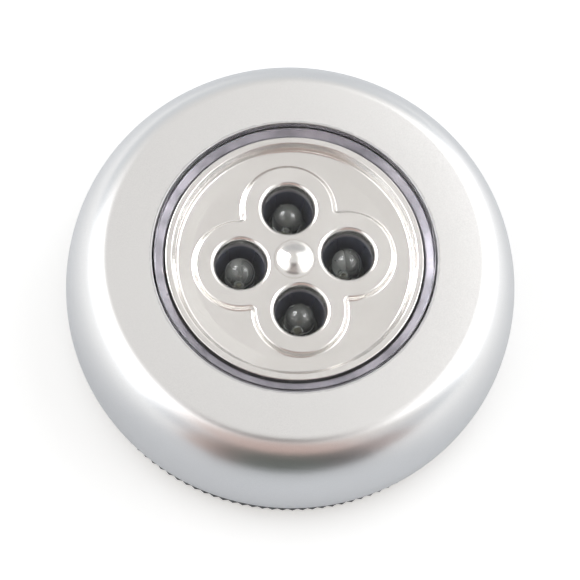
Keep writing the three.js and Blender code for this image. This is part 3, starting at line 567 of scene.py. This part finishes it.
materials = {
    "silverPaint": silverPaint("silverPaint", silverSettings),
    "lensPlastic": clearPlastic("lensPlastic", lensGlass),
    "skirtPaintedReflection": grained("skirtPaintedReflection", skirtSettings, skirtSettings["metallic"]),
    "lampEpoxy": clearPlastic("lampEpoxy", epoxyGlass),
    "metallised": metallisedWithBoreShade("metallised", metallisedSettings),
}
for metallic, finishes in ((1, metalFinishes), (0, plasticFinishes)):
    for finishName, finishValues in finishes.items():
        materials[finishName] = grained(finishName, dict(zip(finishKeys, finishValues)), metallic)

print("materials made:", len(materials))


# Helpers for meshes

meshSettings = {
    "merge": 0.0008 * mm,
    "level": 0.002 * mm,                    # heights closer than this are one level
    "guard": 0.05 * mm,                     # flat strip kept beside a rounded corner
    "upright": 0.1,                         # most slope of an upright face's normal
    "onWall": 0.05 * mm,                    # most distance of a wall's face from the wall
    "sharpAngle": 38,
    "roundSteps": 6,
    "bodySteps": 288,
    "lensSteps": 360,
    "middleSteps": 96,
    "smallSteps": 40,
    "blockSteps": 10,
}


def evenly(count, start=0):
    return [start + 360 * index / count for index in range(count)]


def polar(radius, degrees):
    angle = math.radians(degrees)
    return radius * math.cos(angle), radius * math.sin(angle)


def vertsOf(geom):
    return [item for item in geom if isinstance(item, bmesh.types.BMVert)]


# Corners of a quarter of an ellipse, from its side up to its top
def quarterArc(across, height, run, rise, steps):
    angles = [math.pi / 2 * step / steps for step in range(steps + 1)]
    return [(across + run * math.cos(angle), height + rise * math.sin(angle), 0) for angle in angles]


# Turns (across, height, round) corners into points. A round corner is an arc between two guard points
def roundedOutline(corners, steps=meshSettings["roundSteps"], guard=meshSettings["guard"]):
    points = []
    for index, (across, height, radius) in enumerate(corners):
        corner = Vector((across, height))
        if not radius:
            points.append(corner)
            continue
        back = (Vector(corners[index - 1][:2]) - corner).normalized()
        ahead = (Vector(corners[(index + 1) % len(corners)][:2]) - corner).normalized()
        half = back.angle(ahead) / 2
        reach = radius / math.tan(half)
        centre = corner + (back + ahead).normalized() * (radius / math.sin(half))
        start = corner + back * reach - centre
        turn = start.angle_signed(corner + ahead * reach - centre)
        points.append(corner + back * (reach + guard))
        for step in range(steps + 1):
            angle = -turn * step / steps
            cosine, sine = math.cos(angle), math.sin(angle)
            turned = (start.x * cosine - start.y * sine, start.x * sine + start.y * cosine)
            points.append(centre + Vector(turned))
        points.append(corner + ahead * (reach + guard))
    return points


# Places (across, height) points in an upright plane that stands out from an axis
def placePoints(bm, points, centre, degrees):
    angle = math.radians(degrees)
    axisPoint = Vector((centre[0], centre[1], 0))
    outwards = Vector((math.cos(angle), math.sin(angle), 0))
    return [bm.verts.new(axisPoint + outwards * across + upAxis * height) for across, height in points]


# Sweeps geometry round an upright axis, with a climb at each step, and gives its last copy
def sweepRound(bm, geom, centre, degrees, steps, climb=0):
    return bmesh.ops.spin(
        bm, geom=geom, cent=(centre[0], centre[1], 0), axis=upAxis, dvec=(0, 0, climb),
        angle=math.radians(degrees), steps=steps, use_merge=degrees == 360, use_normal_flip=False,
        use_duplicate=False,
    )["geom_last"]


# Spins an outline about an upright axis. A closed outline joins its ends
def spinOutline(bm, points, steps, centre=(0, 0), start=0, sweep=360, closed=False):
    verts = placePoints(bm, points, centre, start)
    edges = [bm.edges.new(pair) for pair in zip(verts, verts[1:])]
    if closed:
        edges.append(bm.edges.new((verts[-1], verts[0])))
    return sweepRound(bm, verts + edges, centre, sweep, steps)


# A block between two radii, two heights and two angles
def spinBlock(bm, inner, outer, low, high, start, sweep):
    corners = ((inner, low), (outer, low), (outer, high), (inner, high))
    face = bm.faces.new(placePoints(bm, corners, (0, 0), start))
    sweepRound(bm, [face, *face.edges, *face.verts], (0, 0), sweep, meshSettings["blockSteps"])


def mergeDoubles(bm):
    bmesh.ops.remove_doubles(bm, verts=bm.verts, dist=meshSettings["merge"])


# Fills the flat region at one height between the open loops that lie there
def fillLevel(bm, height):
    def lies(vert):
        return abs(vert.co.z - height) < meshSettings["level"]

    edges = [edge for edge in bm.edges if edge.is_boundary and all(lies(vert) for vert in edge.verts)]
    bmesh.ops.triangle_fill(bm, use_beauty=True, use_dissolve=False, edges=edges, normal=upAxis)


def finishPiece(name, bm, body, finish, node=None, sharpAngle=meshSettings["sharpAngle"]):
    mergeDoubles(bm)
    bmesh.ops.recalc_face_normals(bm, faces=bm.faces)
    piece = meshObject(name, bm)
    piece.data.shade_smooth()
    piece.data.set_sharp_from_angle(angle=math.radians(sharpAngle))
    piece.data.materials.append(materials[finish])
    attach(piece, body)
    if node:
        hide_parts(node)
    return piece


# A piece that is one outline spun about an upright axis
def turnedPiece(name, corners, steps, body, finish, node=None, centre=(0, 0)):
    bm = bmesh.new()
    spinOutline(bm, roundedOutline(corners), steps, centre)
    return finishPiece(name, bm, body, finish, node)


# Housing: the silver shell with its collar, bosses and bayonet ledges

shellSettings = {
    "footInset": 1.2 * mm,
    "bulgeRise": 6.3 * mm,
    "shoulderRun": 7.2 * mm,
    "wall": 1.8 * mm,
    "footRound": 0.35 * mm,
    "innerFootRound": 0.2 * mm,
    "mouthGap": 0.3 * mm,                   # between the opening and the lens
    "mouthRound": 0.2 * mm,
    "collarWall": 1.5 * mm,
    "collarFoot": 17.9 * mm,
    "collarRound": 0.2 * mm,
    "collarRootRound": 0.5 * mm,
    "footSteps": 6,
    "shoulderSteps": 36,
    "bosses": 3,
    "bossTurn": 60,
    "bossRadius": 2.8 * mm,
    "bossCircle": 31.2 * mm,
    "bossFoot": 14.6 * mm,
    "bossRound": 0.2 * mm,
    "bossBore": 1.5 * mm,
    "bossBoreTop": 18.8 * mm,
    "bossBoreRound": 0.15 * mm,
    "root": 0.4 * mm,                       # how far a boss or a ledge is sunk into the wall
    "ledges": 3,
    "ledgeReach": 1 * mm,
    "ledgeLift": 0.2 * mm,
    "ledgeHeight": 1 * mm,
    "ledgeHalf": 8,
    "stopStart": 9.5,
    "stopSweep": 2.5,
    "stopHeight": 2.3 * mm,
}


def lensEdge():
    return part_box("lens")[1].x - lensSettings["tabReach"]


def shellLevels(settings):
    low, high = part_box("housing")
    return {
        "outer": high.x,
        "foot": low.z,
        "top": high.z,
        "bulge": low.z + settings["bulgeRise"],
        "footRadius": high.x - settings["footInset"],
        "flat": high.x - settings["shoulderRun"],
        "opening": lensEdge() + settings["mouthGap"],
    }


def insideHeight(settings, levels, radius):
    run = settings["shoulderRun"] - settings["wall"]
    rise = levels["top"] - levels["bulge"] - settings["wall"]
    share = min(max((radius - levels["flat"]) / run, 0), 1)
    return levels["bulge"] + rise * math.sqrt(1 - share * share)


def buildShell(settings, levels):
    wall, run, steps = settings["wall"], settings["shoulderRun"], settings["shoulderSteps"]
    opening, top, bulge = levels["opening"], levels["top"], levels["bulge"]
    collar, collarFoot = opening + settings["collarWall"], settings["collarFoot"]
    outside = []
    for step in range(settings["footSteps"]):
        share = 1 - step / settings["footSteps"]
        across = levels["outer"] - settings["footInset"] * share * share
        outside.append((across, bulge - settings["bulgeRise"] * share, 0 if step else settings["footRound"]))
    outside += quarterArc(levels["flat"], bulge, run, top - bulge, steps)
    mouth = [
        (opening, top, settings["mouthRound"]),
        (opening, collarFoot, settings["collarRound"]),
        (collar, collarFoot, settings["collarRound"]),
        (collar, top - wall, settings["collarRootRound"]),
    ]
    inside = quarterArc(levels["flat"], bulge, run - wall, top - bulge - wall, steps // 2)[::-1]
    inside.append((levels["footRadius"] - wall, levels["foot"], settings["innerFootRound"]))
    bm = bmesh.new()
    spinOutline(bm, roundedOutline(outside + mouth + inside), meshSettings["bodySteps"], closed=True)
    return bm


def addBosses(bm, settings, levels):
    bore, boreTop = settings["bossBore"], settings["bossBoreTop"]
    radius, foot, top = settings["bossRadius"], settings["bossFoot"], levels["top"]
    outline = roundedOutline([
        (0, boreTop, 0),
        (bore, boreTop, 0),
        (bore, foot, settings["bossBoreRound"]),
        (radius, foot, settings["bossRound"]),
        (radius, levels["bulge"], 0),
        (radius, top, 0),
        (0, top, 0),
    ])
    for degrees in evenly(settings["bosses"], settings["bossTurn"]):
        before = set(bm.verts)
        spinOutline(bm, outline, meshSettings["smallSteps"], polar(settings["bossCircle"], degrees))
        for vert in set(bm.verts) - before:
            if vert.co.z > top - settings["root"]:
                vert.co.z = insideHeight(settings, levels, vert.co.xy.length) + settings["root"]


def addLedges(bm, settings, levels):
    inner = levels["footRadius"] - settings["wall"] - settings["ledgeReach"]
    outer = levels["footRadius"] - settings["wall"] + settings["root"]
    base = levels["foot"] + settings["ledgeLift"]
    for degrees in evenly(settings["ledges"]):
        start, stop = degrees - settings["ledgeHalf"], degrees + settings["stopStart"]
        spinBlock(bm, inner, outer, base, base + settings["ledgeHeight"], start, stop - start)
        spinBlock(bm, inner, outer, base, base + settings["stopHeight"], stop, settings["stopSweep"])


# Lens: a clear plate, and its skirt with three tabs that stop it and four barbs that hold the reflector

lensSettings = {
    "plate": 1.5 * mm,
    "plateRound": 0.3 * mm,
    "underRound": 0.05 * mm,
    "skirtWall": 1.6 * mm,
    "footRound": 0.12 * mm,
    "seam": 0.02 * mm,                      # between the plate and the skirt's crest
    "crestInset": 0.25 * mm,                # of the crest from the skirt's outer face
    "crestDrop": 0.4 * mm,
    "bevelRun": 1.2 * mm,                   # of the facet that leans inwards from the crest
    "bevelDrop": 0.7 * mm,
    "bevelRound": 0.12 * mm,
    "tabs": 3,
    "tabReach": 2 * mm,
    "tabHeight": 0.8 * mm,
    "tabHalf": 20,
    "barbs": 4,
    "barbTurn": 45,
    "barbLift": 0.9 * mm,
    "barbHeight": 1 * mm,
    "barbReach": 0.9 * mm,
    "barbHalf": 6,
    "notchHalf": 10,
    "notchHeight": 2.8 * mm,
    "overrun": 1 * mm,
}


def plateCorners(settings):
    top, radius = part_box("lens")[1].z, lensEdge()
    under = top - settings["plate"]
    edge = [(radius, under, settings["underRound"]), (radius, top, settings["plateRound"])]
    return [(0, under, 0), *edge, (0, top, 0)]


# Draws out the part of an upright wall between two heights that faces one direction, give or take half
def drawOut(bm, radius, low, height, direction, half, distance):
    faces = []
    for face in bm.faces:
        middle = face.calc_center_median()
        apart = (math.degrees(math.atan2(middle.y, middle.x)) - direction + 180) % 360 - 180
        level = low < middle.z < low + height and abs(face.normal.z) < meshSettings["upright"]
        if level and abs(middle.xy.length - radius) < meshSettings["onWall"] and abs(apart) < half:
            faces.append(face)
    for vert in vertsOf(bmesh.ops.extrude_face_region(bm, geom=faces)["geom"]):
        vert.co += Vector((vert.co.x, vert.co.y, 0)).normalized() * distance
    bmesh.ops.delete(bm, geom=faces, context="FACES_ONLY")


def buildSkirt(settings):
    low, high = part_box("lens")
    radius = lensEdge()
    inner, bevelRound = radius - settings["skirtWall"], settings["bevelRound"]
    foot, crest = low.z, high.z - settings["plate"] - settings["seam"]
    barbLow, barbHeight = foot + settings["barbLift"], settings["barbHeight"]
    crestRadius, bevelFoot = radius - settings["crestInset"], crest - settings["bevelDrop"]
    corners = [
        (crestRadius, crest, bevelRound),
        (crestRadius - settings["bevelRun"], bevelFoot, bevelRound),
        (inner, bevelFoot - settings["crestInset"], 0),
        (inner, barbLow + barbHeight, 0),
        (inner, barbLow, 0),
        (inner, foot, settings["footRound"]),
        (radius, foot, 0),
        (radius, foot + settings["tabHeight"], 0),
        (radius, crest - settings["crestDrop"], bevelRound),
    ]
    bm = bmesh.new()
    spinOutline(bm, roundedOutline(corners), meshSettings["lensSteps"], closed=True)
    mergeDoubles(bm)
    bmesh.ops.recalc_face_normals(bm, faces=bm.faces)
    for degrees in evenly(settings["tabs"]):
        drawOut(bm, radius, foot, settings["tabHeight"], degrees, settings["tabHalf"], settings["tabReach"])
    for degrees in evenly(settings["barbs"], settings["barbTurn"]):
        drawOut(bm, inner, barbLow, barbHeight, degrees, settings["barbHalf"], -settings["barbReach"])
    return bm


# Cuts the wires' notch out of the skirt's foot
def cutNotch(piece, settings):
    over, half = settings["overrun"], settings["notchHalf"]
    inner, outer = lensEdge() - settings["skirtWall"] - over, lensEdge() + over
    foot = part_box("lens")[0].z
    bm = bmesh.new()
    spinBlock(bm, inner, outer, foot - over, foot + settings["notchHeight"], 180 - half, 2 * half)
    bmesh.ops.recalc_face_normals(bm, faces=bm.faces)
    tool = meshObject("notchTool", bm)
    cut = piece.modifiers.new("notch", "BOOLEAN")
    cut.operation = "DIFFERENCE"
    cut.solver = "EXACT"
    cut.object = tool
    notched = shownMesh(piece)
    piece.modifiers.clear()
    piece.data = notched
    bpy.data.objects.remove(tool)


shellSizes = shellLevels(shellSettings)
shellMesh = buildShell(shellSettings, shellSizes)
addBosses(shellMesh, shellSettings, shellSizes)
addLedges(shellMesh, shellSettings, shellSizes)
finishPiece("housing_shell", shellMesh, "housing", "silverPaint", "housing")
print("housing made")

lensPlate = turnedPiece(
    "lens_plate", plateCorners(lensSettings), meshSettings["lensSteps"], "push_head", "lensPlastic", "lens",
)
clearPieces.objects.link(lensPlate)
# The skirt wears a painted reflection in place of clear plastic
lensSkirt = finishPiece("lens_skirt", buildSkirt(lensSettings), "push_head", "skirtPaintedReflection")
cutNotch(lensSkirt, lensSettings)
print("lens made")


# Reflector: a dish with a raised four-lobed plateau, a cup for each lamp and a pip in the middle

reflectorSettings = {
    "ringWidth": 1 * mm,
    "lipRun": 0.6 * mm,                     # of the steep lip, which stands on an upright wall
    "lipDrop": 0.75 * mm,
    "lipRound": 0.25 * mm,
    "wallRun": 0.15 * mm,
    "wallDrop": 0.97 * mm,
    "wallRound": 0.45 * mm,
    "slopeRun": 2.6 * mm,                   # of the shallow slope below the wall
    "slopeRound": 4 * mm,
    "slopeFlat": 0.5 * mm,                  # flat strip inside the slope's foot
    "dishDepth": 1.9 * mm,
    "floorWall": 1.4 * mm,
    "skirtWall": 1.2 * mm,
    "skirtFoot": 19 * mm,
    "skirtRound": 0.15 * mm,
    "plateauRise": 0.8 * mm,
    "lobes": 4,
    "lobeRadius": 7.3 * mm,
    "lobeSlope": 0.5 * mm,
    "lobeRound": 0.4 * mm,
    "lobeStrip": 0.06 * mm,
    "lobeSteps": 72,
    "notchRound": 0.85 * mm,
    "notchSteps": 14,
    "cupCircle": 8.8 * mm,
    "cupRim": 4.25 * mm,
    "cupLip": 0.8 * mm,
    "cupFoot": 3.3 * mm,
    "cupFootLevel": 14 * mm,
    "cupFootRound": 0.2 * mm,
    "cupWall": 1.2 * mm,
    "lipSteps": 12,
    "pipRadius": 2.8 * mm,
    "pipFlat": 0.5 * mm,                    # flat strip round the pip's foot
    "pipTop": 0.9 * mm,
    "pipRise": 0.9 * mm,
    "pipFootRound": 2.2 * mm,
    "pipTipRound": 3.5 * mm,
    "posts": 2,
    "postTurn": 45,
    "postRadius": 2 * mm,
    "postRound": 0.15 * mm,
    "postCircle": 11 * mm,
    "postBore": 1.2 * mm,
    "postBoreRound": 0.1 * mm,
    "postBoreTop": 17.4 * mm,
}


# The wall between plateau and floor: swept round a lobe, back round the fillet, and copied for each lobe
def addLobes(bm, settings, plateau, floor):
    radius, circle, lobeRound = settings["lobeRadius"], settings["cupCircle"], settings["lobeRound"]
    wallFoot = radius + settings["lobeSlope"]
    corners = [
        (radius - 2 * lobeRound, plateau, 0),
        (radius, plateau, lobeRound),
        (wallFoot, floor, lobeRound),
        (wallFoot + lobeRound, floor, 0),
    ]
    outline = roundedOutline(corners, guard=settings["lobeStrip"])[1:-1]
    between = 180 / settings["lobes"]       # degrees from a lobe's middle to the notch beside it
    along, aside = polar(circle, between)
    reach = radius + settings["notchRound"]
    filletX, filletY = polar(along + math.sqrt(reach * reach - aside * aside), between)
    joint = math.degrees(math.atan2(filletY, filletX - circle))
    before = set(bm.verts)
    last = spinOutline(bm, outline, settings["lobeSteps"], (circle, 0), -joint, 2 * joint)
    sweepRound(bm, last, (filletX, filletY), 2 * (between - joint), settings["notchSteps"])
    quarter = [vert for vert in bm.verts if vert not in before]
    edges = {edge for vert in quarter for edge in vert.link_edges}
    faces = {face for vert in quarter for face in vert.link_faces}
    whole = quarter + list(edges) + list(faces)
    for degrees in evenly(settings["lobes"])[1:]:
        verts = vertsOf(bmesh.ops.duplicate(bm, geom=whole)["geom"])
        turn = Matrix.Rotation(math.radians(degrees), 3, "Z")
        bmesh.ops.rotate(bm, cent=(0, 0, 0), matrix=turn, verts=verts)


def buildReflector(settings):
    low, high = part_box("reflector")
    radius, top = high.x, high.z
    floor = top - settings["dishDepth"]
    plateau = floor + settings["plateauRise"]
    under = floor - settings["floorWall"]
    skirt = radius - settings["skirtWall"]
    skirtFoot, skirtRound = settings["skirtFoot"], settings["skirtRound"]
    dish = radius - settings["ringWidth"]
    lipFoot, lipLevel = dish - settings["lipRun"], top - settings["lipDrop"]
    slopeTop = lipFoot - settings["wallRun"]
    slopeFoot = slopeTop - settings["slopeRun"]
    ring = [
        (skirt, under, 0),
        (skirt, skirtFoot, skirtRound),
        (radius, skirtFoot, skirtRound),
        (radius, top, skirtRound),
        (dish, top, settings["lipRound"]),
        (lipFoot, lipLevel, settings["lipRound"]),
        (slopeTop, lipLevel - settings["wallDrop"], settings["wallRound"]),
        (slopeFoot, floor, settings["slopeRound"]),
        (slopeFoot - settings["lobeStrip"] - settings["slopeFlat"], floor, 0),
    ]
    bm = bmesh.new()
    spinOutline(bm, roundedOutline(ring, settings["lipSteps"])[:-1], meshSettings["bodySteps"])
    addLobes(bm, settings, plateau, floor)
    cupFoot, cupRim, footLevel = settings["cupFoot"], settings["cupRim"], settings["cupFootLevel"]
    outerFoot = cupFoot + settings["cupWall"]
    slope = (cupRim - cupFoot) / (plateau - footLevel)
    cup = [
        (outerFoot + slope * (under - footLevel), under, 0),
        (outerFoot, footLevel, settings["cupFootRound"]),
        (cupFoot, footLevel, settings["cupFootRound"]),
        (cupRim, plateau, settings["cupLip"]),
        (cupRim + 2 * settings["cupLip"], plateau, 0),
    ]
    cupOutline = roundedOutline(cup, settings["lipSteps"])[:-1]
    for degrees in evenly(settings["lobes"]):
        spinOutline(bm, cupOutline, meshSettings["middleSteps"], polar(settings["cupCircle"], degrees))
    pip = [
        (settings["pipRadius"] + settings["pipFlat"], plateau, 0),
        (settings["pipRadius"], plateau, settings["pipFootRound"]),
        (settings["pipTop"], plateau + settings["pipRise"], settings["pipTipRound"]),
        (0, plateau + settings["pipRise"], 0),
    ]
    spinOutline(bm, roundedOutline(pip), meshSettings["middleSteps"])
    post = roundedOutline([
        (0, settings["postBoreTop"], 0),
        (settings["postBore"], settings["postBoreTop"], 0),
        (settings["postBore"], low.z, settings["postBoreRound"]),
        (settings["postRadius"], low.z, settings["postRound"]),
        (settings["postRadius"], under, 0),
    ])
    for degrees in evenly(settings["posts"], settings["postTurn"]):
        spinOutline(bm, post, meshSettings["smallSteps"], polar(settings["postCircle"], degrees))
    mergeDoubles(bm)
    for height in (under, floor, plateau):
        fillLevel(bm, height)
    return bm


reflectorMesh = buildReflector(reflectorSettings)
openEdges = sum(edge.is_boundary for edge in reflectorMesh.edges)
finishPiece("reflector_plate", reflectorMesh, "push_head", "metallised", "reflector")
print("reflector made, open edges:", openEdges)


# Lamps: clear domes, each with a small cup and its phosphor on the wider lead

lampSettings = {
    "count": 4,
    "radius": 2.5 * mm,
    "flangeReach": 0.4 * mm,
    "flangeHeight": 1 * mm,
    "edgeRound": 0.15 * mm,
    "domeSteps": 16,
    "frameTop": 3.6 * mm,
    "cupRadius": 0.32 * mm,
    "cupFoot": 0.2 * mm,
    "cupHeight": 0.26 * mm,
    "cupWall": 0.05 * mm,
    "phosphorShares": ((0.93, 0.72), (0.55, 0.86), (0, 0.9)),       # of the cup's radius and height
}


def domeCorners(settings, low, high):
    radius, edgeRound = settings["radius"], settings["edgeRound"]
    flange, flangeTop = radius + settings["flangeReach"], low.z + settings["flangeHeight"]
    foot = [(0, low.z, 0), (flange, low.z, edgeRound), (flange, flangeTop, edgeRound)]
    dome = quarterArc(0, high.z - radius, radius, radius, settings["domeSteps"])
    return [*foot, (radius, flangeTop, edgeRound), *dome]


def cupCorners(settings, foot):
    level, wall = foot + settings["frameTop"], settings["cupWall"]
    rim = level + settings["cupHeight"]
    return [
        (0, level, 0),
        (settings["cupFoot"] + wall, level, 0),
        (settings["cupRadius"] + wall, rim, 0),
        (settings["cupRadius"], rim, 0),
        (settings["cupFoot"], level + wall, 0),
        (0, level + wall, 0),
    ]


def phosphorCorners(settings, foot):
    level = foot + settings["frameTop"] + settings["cupWall"]
    radius, height = settings["cupRadius"], settings["cupHeight"]
    crown = [(radius * across, level + height * up, 0) for across, up in settings["phosphorShares"]]
    return [(0, level, 0), (settings["cupFoot"], level, 0), *crown]


def addLamp(name, node, settings):
    low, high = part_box(node)
    centre = ((low.x + high.x) / 2, (low.y + high.y) / 2)
    middleSteps, smallSteps = meshSettings["middleSteps"], meshSettings["smallSteps"]
    corners = domeCorners(settings, low, high)
    dome = turnedPiece(name + "_dome", corners, middleSteps, "push_head", "lampEpoxy", node, centre)
    clearPieces.objects.link(dome)
    corners = cupCorners(settings, low.z)
    turnedPiece(name + "_cup", corners, smallSteps, "push_head", "tinned", centre=centre)
    corners = phosphorCorners(settings, low.z)
    turnedPiece(name + "_phosphor", corners, smallSteps, "push_head", "phosphor", centre=centre)


for number in range(1, lampSettings["count"] + 1):
    addLamp(f"lamp_{number}", f"led_{number}", lampSettings)
print("lamps made")


# Back cover: a knurled rim with three bayonet legs

coverSettings = {
    "teeth": 136,
    "toothDepth": 0.3 * mm,
    "rimWall": 1.7 * mm,
    "plate": 1.4 * mm,
    "rimHeight": 2 * mm,
    "edge": 0.18 * mm,
    "edgeSegments": 2,
    "legs": 3,
    "legOuter": 33.2 * mm,
    "legWall": 1.4 * mm,
    "legHalf": 9,
    "lugOuter": 34.2 * mm,
    "lugHeight": 1 * mm,
    "root": 0.4 * mm,
    "sharpAngle": 30,
}


def buildCover(settings):
    low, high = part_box("back_cover")
    radius, edge, rimWall = high.x, settings["edge"], settings["rimWall"]
    rimTop, plateTop = low.z + settings["rimHeight"], low.z + settings["plate"]
    bm = bmesh.new()
    made = bmesh.ops.create_circle(bm, cap_ends=True, segments=settings["teeth"] * 2, radius=radius)
    inwards = (radius - settings["toothDepth"]) / radius
    bmesh.ops.scale(bm, vec=(inwards, inwards, 1), verts=made["verts"][1::2])
    bmesh.ops.translate(bm, vec=(0, 0, low.z), verts=bm.verts)
    raised = vertsOf(bmesh.ops.extrude_face_region(bm, geom=bm.faces[:])["geom"])
    bmesh.ops.translate(bm, vec=(0, 0, settings["rimHeight"]), verts=raised)
    level = meshSettings["level"]
    rims = [line for line in bm.edges if abs(line.verts[0].co.z - line.verts[1].co.z) < level]
    bmesh.ops.bevel(
        bm, geom=rims, offset=edge, offset_type="OFFSET", segments=settings["edgeSegments"], profile=0.5,
        affect="EDGES", material=-1,
    )
    lid = max(bm.faces, key=lambda face: face.calc_center_median().z + face.calc_area())
    bmesh.ops.inset_region(bm, faces=[lid], thickness=rimWall - edge, use_even_offset=True)
    for vert in lid.verts:
        vert.co.x, vert.co.y = vert.co.xy.normalized() * (radius - rimWall)
    sunk = vertsOf(bmesh.ops.extrude_face_region(bm, geom=[lid])["geom"])
    bmesh.ops.translate(bm, vec=(0, 0, plateTop - rimTop), verts=sunk)
    bmesh.ops.delete(bm, geom=[lid], context="FACES_ONLY")
    legOuter, sweep = settings["legOuter"], 2 * settings["legHalf"]
    inner, legFoot = legOuter - settings["legWall"], plateTop - settings["root"]
    for degrees in evenly(settings["legs"]):
        start = degrees - settings["legHalf"]
        spinBlock(bm, inner, legOuter, legFoot, high.z, start, sweep)
        spinBlock(bm, inner, settings["lugOuter"], high.z - settings["lugHeight"], high.z, start, sweep)
    return bm


coverMesh = buildCover(coverSettings)
finishPiece("cover_disc", coverMesh, "base", "coverPlastic", "back_cover", coverSettings["sharpAngle"])
print("cover made")


# Foam pad: a soft disc with rolled edges

padSettings = {"edgeRound": 0.3 * mm, "steps": 192}


def padCorners(settings):
    low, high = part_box("foam_pad")
    edge = [(high.x, height, settings["edgeRound"]) for height in (low.z, high.z)]
    return [(0, low.z, 0), *edge, (0, high.z, 0)]


padOutline = padCorners(padSettings)
foamPad = turnedPiece("pad_disc", padOutline, padSettings["steps"], "base", "padFoam", "foam_pad")
print("pad made")


# Wires from the terminals to the board

wireSettings = {
    "radius": 0.5 * mm,
    "roundness": 4,
    "stepsPerPoint": 10,
    "bendStart": Vector((-28.6 * mm, 0, 15 * mm)),
    "bendEnd": Vector((-12.6 * mm, 0, 15 * mm)),
    "red": [
        (-30.5, 4.9, 15.6), (-28.6, 5.6, 15.6), (-25.4, 4.4, 15.5), (-22.1, 2.2, 15.5), (-18.6, 3.4, 15.6),
        (-15.4, 4.8, 15.6), (-12.6, 5.6, 15), (-11.4, 5.8, 14), (-11.4, 5.8, 13.1),
    ],
    "black": [
        (-30.5, -4.9, 15.6), (-28.6, -5.6, 15.6), (-25.4, -4.2, 15.5), (-22.1, -2, 15.5), (-18.6, -2.9, 15.6),
        (-15.6, -3.9, 15.6), (-12.9, -4.7, 15), (-11.6, -4.8, 14), (-11.6, -4.8, 13.1),
    ],
}


def addWire(colour, settings):
    name, finish = colour + "_lead", colour + "Sleeve"
    curve = bpy.data.curves.new(name, "CURVE")
    curve.dimensions = "3D"
    curve.bevel_depth = settings["radius"]
    curve.bevel_resolution = settings["roundness"]
    curve.use_fill_caps = True
    line = curve.splines.new("BEZIER")
    line.resolution_u = settings["stepsPerPoint"]
    line.bezier_points.add(len(settings[colour]) - 1)
    for point, place in zip(line.bezier_points, settings[colour]):
        point.co = Vector(place) * mm
        point.handle_left_type = point.handle_right_type = "AUTO"
    drawn = newObject(name + "Curve", curve)
    mesh = shownMesh(drawn)
    bpy.data.objects.remove(drawn)
    mesh.shade_smooth()
    mesh.materials.clear()
    mesh.materials.append(materials[finish])
    wire = newObject(name, mesh)
    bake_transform(wire)
    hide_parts("wire_" + colour)


for wireColour in ("red", "black"):
    addWire(wireColour, wireSettings)
print("wires made")


# Switch spring: a wire coil

springSettings = {"wire": 0.14 * mm, "wireSides": 10, "turns": 4, "stepsPerTurn": 32, "keep": 0.25}


def buildSpring(settings):
    low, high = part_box("switch_spring")
    centre, wire = (low + high) / 2, settings["wire"]
    radius = (high.x - low.x) / 2 - wire
    steps = settings["turns"] * settings["stepsPerTurn"]
    climb = (high.z - low.z - 2 * wire) / steps
    bm = bmesh.new()
    made = bmesh.ops.create_circle(bm, cap_ends=True, segments=settings["wireSides"], radius=wire)
    upright = Matrix.Rotation(math.radians(90), 3, "X")
    bmesh.ops.rotate(bm, cent=(0, 0, 0), matrix=upright, verts=made["verts"])
    bmesh.ops.translate(bm, vec=(centre.x + radius, centre.y, low.z + wire), verts=made["verts"])
    section = bm.verts[:] + bm.edges[:] + bm.faces[:]
    sweepRound(bm, section, centre, 360 * settings["turns"], steps, climb)
    return bm, Vector((centre.x, centre.y, high.z))


springMesh, springSeat = buildSpring(springSettings)
switchCoil = finishPiece("switch_coil", springMesh, "push_head", "springSteel", "switch_spring")
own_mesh(switchCoil)
print("switch spring made")


# Finishes of the frame's own pieces

nodeFinishes = {
    "boardMask": ["led_board"],
    "chipGlaze": ["resistor"],
    "switchPlastic": ["switch_body"],
    "plungerPlastic": ["switch_plunger"],
    "chassisPlastic": ["chassis"],
    "cellJacket": ["cell_1", "cell_2", "cell_3"],
    "springSteel": ["contact_spring_1", "contact_spring_2", "contact_spring_3"],
    "screwSteel": ["case_screw_1", "case_screw_2", "case_screw_3", "board_screw_1", "board_screw_2"],
    "tinned": ["contact_positive", "contact_negative", "contact_bridge_1", "contact_bridge_2"],
}
for number in range(1, lampSettings["count"] + 1):
    nodeFinishes["tinned"] += [f"led_{number}_anode", f"led_{number}_cathode"]

for finishName, nodeNames in nodeFinishes.items():
    for nodeName in nodeNames:
        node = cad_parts[nodeName]
        if not node.material_slots:
            node.data.materials.append(materials[finishName])
        for slot in node.material_slots:
            slot.material = materials[finishName]
print("frame pieces finished")
